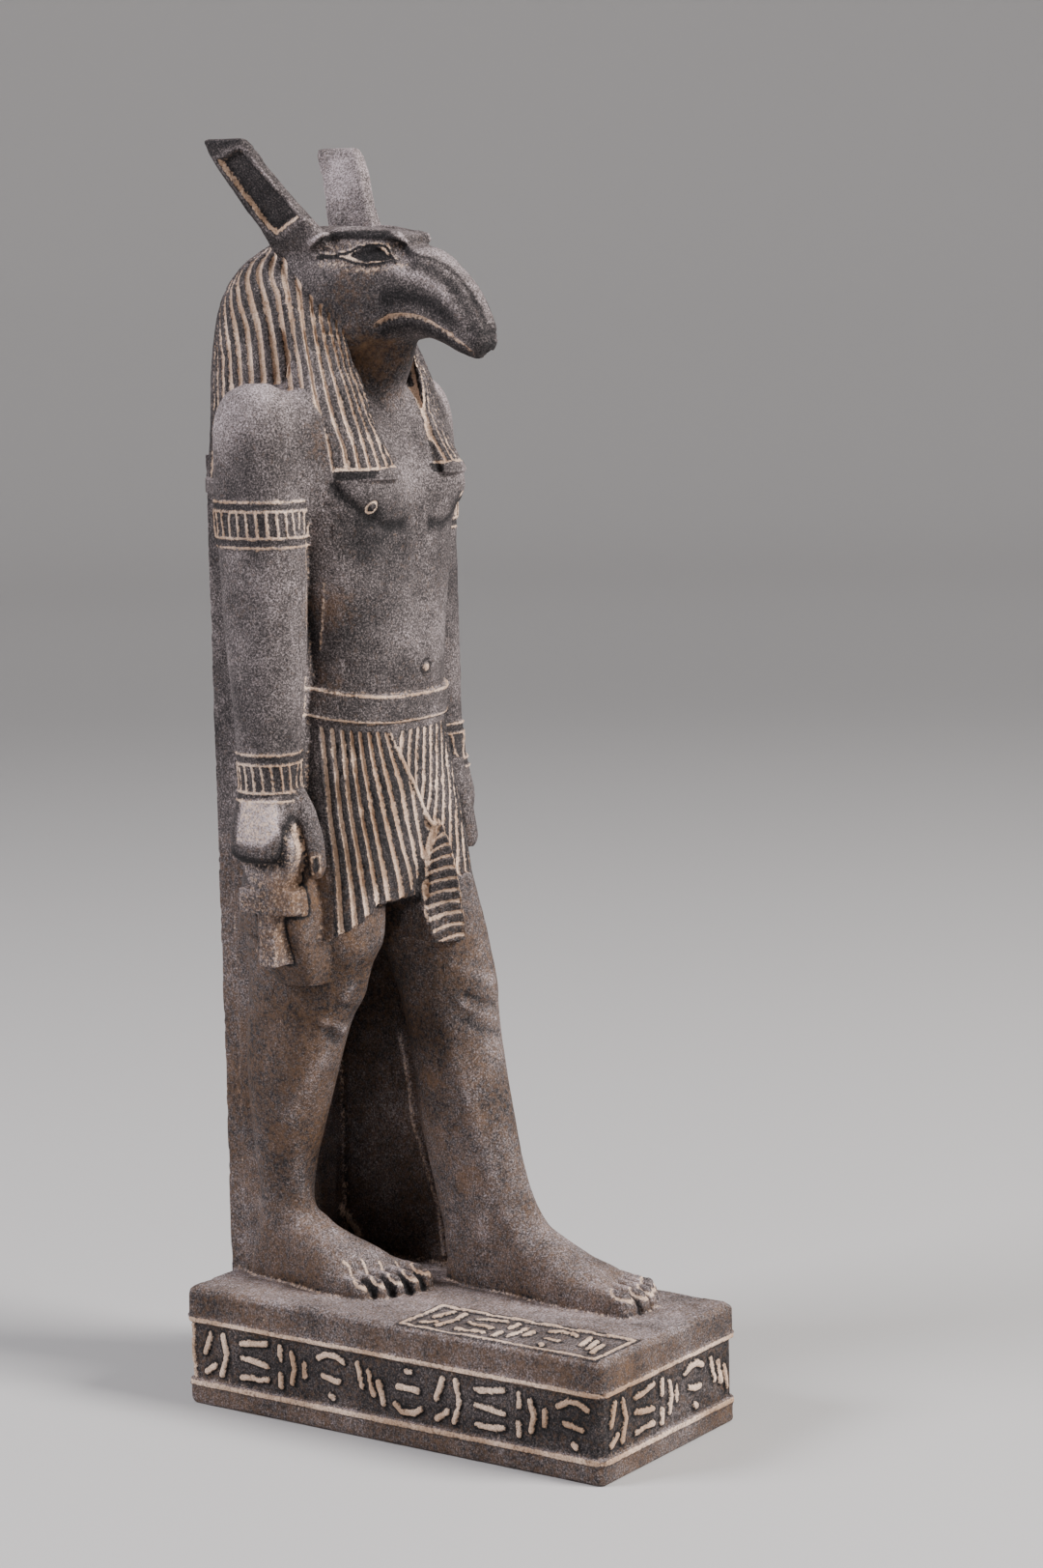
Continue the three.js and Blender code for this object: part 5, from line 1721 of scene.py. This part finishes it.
def stone_material(look):
    """Dark speckled stone with tan sand in its furrows, pale dust and painted highlight,
    grime and painted shade, and ochre stains.

    The stone's tone is a sum of four noises around the tone of clean stone. It rises with
    dust and painted highlight and with edges, rubbed and painted as highlight, and falls
    with grime and painted shade, and a row of five colours turns it into the stone's colour.
    Ochre and sand are laid over it, each broken up by a noise of its own.
    """
    material = bpy.data.materials.new("weathered_stone")
    material.use_nodes = True
    tree = material.node_tree
    tree.nodes.clear()
    n = Nodes(tree)
    place = n.add("ShaderNodeTexCoord").outputs["Object"]
    broken = broken_group()

    def breaking(mask, size, soft):
        node = n.add("ShaderNodeGroup", node_tree=broken)
        for key, value in (("Mask", mask), ("Vector", place), ("Scale", 1 / (size * MM)),
                           ("Softness", soft)):
            n.feed(node.inputs[key], value)
        return node.outputs["Mask"]

    def colour(value):
        return tuple(value) + (1,)

    grain = n.noise(place, 1 / (look.grain * MM), 2.0, 0.6)
    fine = n.noise(place, 1 / (look.grain * 0.4 * MM), 1.0, 0.5)
    blotch = n.noise(place, 1 / (BLOTCH * MM), 2.0, 0.5)
    cloud = n.noise(place, 1 / (CLOUD * MM), 3.0, 0.55)
    dust_and_highlight = n.attribute("dust_and_highlight")

    tone = look.tone
    for value, weight in zip((cloud, blotch, grain, fine), NOISE_WEIGHTS):
        tone = n.math("MULTIPLY_ADD", value, weight, n.math("SUBTRACT", tone, weight / 2))
    # Dust and painted highlight raise the tone, edges raise it as wear and painted highlight, and
    # grime and painted shade lower it.
    tone = n.math("MULTIPLY_ADD", dust_and_highlight, DUST_HIGHLIGHT_WEIGHT, tone)
    tone = n.math("MULTIPLY_ADD", n.attribute("edge"), EDGE_WEAR_HIGHLIGHT_WEIGHT, tone)
    tone = n.math("MULTIPLY_ADD", n.attribute("grime_and_shade"), GRIME_SHADE_WEIGHT, tone, clamp=True)
    stops = (look.dirt_and_shade, look.dark, look.middle, look.light, look.dust_and_highlight)
    base = n.shades(tone, [colour(value) for value in stops])

    ochre = breaking(n.attribute("ochre"), OCHRE_BREAK, 0.75)
    base = n.mix(n.math("MULTIPLY", ochre, 0.6), base, colour(look.ochre))
    sandy = breaking(n.attribute("sand"), SAND_BREAK, 0.4)
    # Sand is paler under cloud and where dust and painted highlight lie.
    paler = n.math("MAXIMUM", n.ramp(cloud, 0.35, 0.65), dust_and_highlight)
    tan = n.mix(paler, colour(look.sand), colour(look.pale_sand))
    tan = n.mix(n.math("MULTIPLY", n.ramp(grain, 0.55, 0.4), 0.45), tan, colour(look.ochre))
    base = n.mix(sandy, base, tan)

    height = n.math("MULTIPLY_ADD", grain, 0.55, n.math("MULTIPLY", fine, 0.3))
    height = n.math("MULTIPLY_ADD", blotch, 0.5, height)
    bump = n.add("ShaderNodeBump",
                 {"Height": height, "Strength": 0.8, "Distance": BUMP_HEIGHT * MM})
    shader = n.add("ShaderNodeBsdfPrincipled", {
        "Base Color": base, "Normal": bump.outputs["Normal"], "Specular IOR Level": 0.2,
        "Roughness": n.math("MULTIPLY_ADD", tone, 0.2, look.roughness)})
    output = n.add("ShaderNodeOutputMaterial")
    tree.links.new(shader.outputs["BSDF"], output.inputs["Surface"])
    return material


# Properties

def tint(name, description, colour):
    """Colour property."""
    return FloatVectorProperty(name=name, description=description, subtype="COLOR",
                               default=colour)


def amount(name, description, value, highest, lowest=0.0, **more):
    """Number property between two limits."""
    return FloatProperty(name=name, description=description, default=value, min=lowest,
                         max=highest, **more)


class CarvingSizes(bpy.types.PropertyGroup):
    """How finely and how deep the statue is carved."""
    cell: amount("Cell", "Cell of the grid on which the parts unite, in mm",
                 0.5, 3.0, 0.4)
    triangles: IntProperty(name="Triangles", description="Triangles of the whole statue",
                           default=930000, min=10000, max=990000)
    lock_depth: amount("Lock depth", "Depth of the furrows in the wig, in mm", 0.95, 3.0)
    pleat_depth: amount("Pleat depth", "Depth of the pleats, in mm", 0.9, 3.0)
    sign_rise: amount("Stroke rise", "Height of the strokes on the plinth, in mm", 0.9, 2.0)


class StoneLook(bpy.types.PropertyGroup):
    """Colours and grain of the stone."""
    # The darkest tone shows where painted shade lies between the limbs and in recesses, with grime.
    dirt_and_shade: tint("Dirt", "Darkest tone, of grime between the limbs", (0.006, 0.0055, 0.006))
    dark: tint("Dark stone", "Dark tone of the stone", (0.026, 0.0225, 0.0235))
    middle: tint("Middle stone", "Middle tone of the stone", (0.080, 0.068, 0.067))
    light: tint("Light stone", "Light tone of the stone", (0.235, 0.198, 0.196))
    # The lightest tone shows where dust and painted highlight lie.
    dust_and_highlight: tint("Dust", "Lightest tone, where dust lies", (0.54, 0.46, 0.48))
    tone: amount("Tone", "Tone of clean stone, from dirt to dust", 0.45, 1, subtype="FACTOR")
    sand: tint("Tan sand", "Sand that fills the furrows", (0.44, 0.29, 0.195))
    pale_sand: tint("Pale sand", "Lighter patches of the sand", (0.86, 0.65, 0.51))
    ochre: tint("Ochre", "Stain in sheltered places", (0.190, 0.102, 0.050))
    grain: amount("Grain", "Size of a grain, in mm", 0.6, 5, 0.1)
    roughness: amount("Roughness", "Roughness of the darkest stone", 0.72, 1, subtype="FACTOR")


class StageSetup(bpy.types.PropertyGroup):
    """Backdrop, lights and camera."""
    lens: amount("Lens", "Focal length on a 36 mm frame, in mm", 85.0, 300, 10)
    floor: tint("Floor", "Colour of the floor", (0.56, 0.55, 0.545))
    key: amount("Key light", "Power of the light on the statue's front", 70.0, 1000, unit="POWER")
    side: amount("Side light", "Power of the light on its back and right", 34.0, 1000,
                 unit="POWER")
    sky: amount("Sky", "Strength of the even light from all round", 0.17, 10)


# Operators

class OBJECT_OT_statue_stone(bpy.types.Operator):
    """Carve the statue as one piece of stone in place of the plain solid"""
    bl_idname = "object.statue_stone"
    bl_label = "Statue"

    def execute(self, context):
        carving = context.scene.statue_carving
        points, faces = united(all_shells(), carving.cell)
        stone = Skin(points, faces)
        soften(stone, carving.cell)
        sand, dark, pale = carve(stone, carving)
        chips = wear(stone)
        stone.points[:, 2] = most(stone.points[:, 2], 0.0)
        attributes = weathering(stone, sand, dark, pale, chips)
        whole = filled_mesh("stone", stone.points, stone.faces, attributes)
        mesh = thinned(whole, carving.triangles)
        sliced(mesh)
        material = stone_material(context.scene.statue_look)
        for piece in pieces_of(mesh):
            piece.data.materials.append(material)
            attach(piece, "root")
            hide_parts("statue")
        return {"FINISHED"}


# Camera: where it stands, and its axes to the right, up and back
CAMERA_AT = (-957.4, -698.5, 385.7)
CAMERA_AZIMUTH, CAMERA_ELEVATION, CAMERA_ROLL = -55.09, 8.452, -1.182


def camera_axes():
    """Axes of the camera from its azimuth, elevation and roll, in degrees."""
    a, e, r = np.radians((CAMERA_AZIMUTH, CAMERA_ELEVATION, CAMERA_ROLL))
    back = np.array([np.sin(a) * np.cos(e), -np.cos(a) * np.cos(e), np.sin(e)])
    right = np.array([np.cos(a), np.sin(a), 0])
    up = np.cross(back, right)
    return (right * np.cos(r) + up * np.sin(r), up * np.cos(r) - right * np.sin(r), back)


# Lights: their side and the point that they face, in metres, then each one's place and colour
LIGHT_SIZE = 0.7
LIT_POINT = (0, 0, 0.22)
KEY_PLACE, KEY_COLOUR = (0.35, -1.55, 1.15), (1.0, 0.97, 0.95)
SIDE_PLACE, SIDE_COLOUR = (-1.15, 0.95, 1.15), (0.96, 0.95, 1.0)
SKY_COLOUR = (0.74, 0.73, 0.76)


def area_light(name, place, colour, power):
    """Square soft light at a place, turned towards the statue."""
    data = bpy.data.lights.new(name, "AREA")
    data.size = LIGHT_SIZE
    data.energy = power
    data.color = colour
    light = placed(name, data)
    light.location = place
    light.rotation_euler = (Vector(LIT_POINT) - Vector(place)).to_track_quat("-Z", "Y").to_euler()


# Profile of the backdrop: distance from the middle and height, in metres
BACKDROP = [(0, 0), (1.8, 0), (2.4, 0.06), (2.9, 0.3), (3.25, 0.8), (3.4, 1.6), (3.4, 3.0)]
FLOOR_GAP = 0.0002


def backdrop(setup):
    """Floor that curves up to a wall all round: the profile carried round the axis."""
    place = np.linspace(0, len(BACKDROP) - 1, 61)[1:]
    radius, height = between(BACKDROP, place).T
    angle = np.linspace(0, 2 * np.pi, 120, endpoint=False)
    grid = stack(radius[:, None] * np.cos(angle), radius[:, None] * np.sin(angle), height[:, None])
    walls = ring_walls(*grid.shape[:2])[:, ::-1]
    mesh = bpy.data.meshes.new("backdrop")
    mesh.from_pydata(grid.reshape(-1, 3).tolist(), [], [list(range(len(angle)))] + walls.tolist())
    mesh.polygons.foreach_set("use_smooth", np.arange(len(mesh.polygons)) > 0)
    obj = placed("backdrop", mesh)
    obj.location.z = -FLOOR_GAP
    plain = bpy.data.materials.new("plain_backdrop")
    plain.use_nodes = True
    shader = plain.node_tree.nodes["Principled BSDF"]
    shader.inputs["Base Color"].default_value = tuple(setup.floor) + (1,)
    shader.inputs["Roughness"].default_value = 0.9
    mesh.materials.append(plain)
    obj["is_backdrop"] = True


class SCENE_OT_statue_stage(bpy.types.Operator):
    """Set up the floor, the lights and the camera"""
    bl_idname = "scene.statue_stage"
    bl_label = "Stage"

    def execute(self, context):
        setup = context.scene.statue_stage
        data = bpy.data.cameras.new("Camera")
        data.lens = setup.lens
        data.sensor_width = 36.0
        data.clip_start = 0.01
        camera = placed("Camera", data)
        turned = Matrix([list(axis) for axis in camera_axes()]).transposed().to_4x4()
        turned.translation = Vector(CAMERA_AT) * MM
        camera.matrix_world = turned
        context.scene.camera = camera

        backdrop(setup)
        area_light("Key", KEY_PLACE, KEY_COLOUR, setup.key)
        area_light("Side", SIDE_PLACE, SIDE_COLOUR, setup.side)
        world = bpy.data.worlds.new("Studio")
        world.use_nodes = True
        sky = world.node_tree.nodes["Background"]
        sky.inputs["Color"].default_value = SKY_COLOUR + (1,)
        sky.inputs["Strength"].default_value = setup.sky
        context.scene.world = world
        return {"FINISHED"}


class VIEW3D_PT_statue(bpy.types.Panel):
    """Statue, its sizes and colours, and the stage"""
    bl_idname = "VIEW3D_PT_statue"
    bl_label = "Statue"
    bl_space_type = "VIEW_3D"
    bl_region_type = "UI"
    bl_category = "Statue"

    def draw(self, context):
        scene = context.scene
        for operator, group in (("object.statue_stone", scene.statue_carving),
                                (None, scene.statue_look),
                                ("scene.statue_stage", scene.statue_stage)):
            box = self.layout.box()
            if operator:
                box.operator(operator)
            for key in group.__annotations__:
                box.prop(group, key)


GROUPS = {"statue_carving": CarvingSizes, "statue_look": StoneLook, "statue_stage": StageSetup}
CLASSES = (*GROUPS.values(), OBJECT_OT_statue_stone, SCENE_OT_statue_stage, VIEW3D_PT_statue)


def register():
    for cls in CLASSES:
        bpy.utils.register_class(cls)
    for name, group in GROUPS.items():
        setattr(bpy.types.Scene, name, PointerProperty(type=group))


def unregister():
    for name in GROUPS:
        delattr(bpy.types.Scene, name)
    for cls in reversed(CLASSES):
        bpy.utils.unregister_class(cls)


def main():
    register()
    bpy.ops.scene.statue_stage()
    bpy.ops.object.statue_stone()
    boxes = {"cad": CAD_BOX, "visual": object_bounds()}
    {name: [list(corner) for corner in box] for name, box in boxes.items()}


if __name__ == "__main__":
    main()
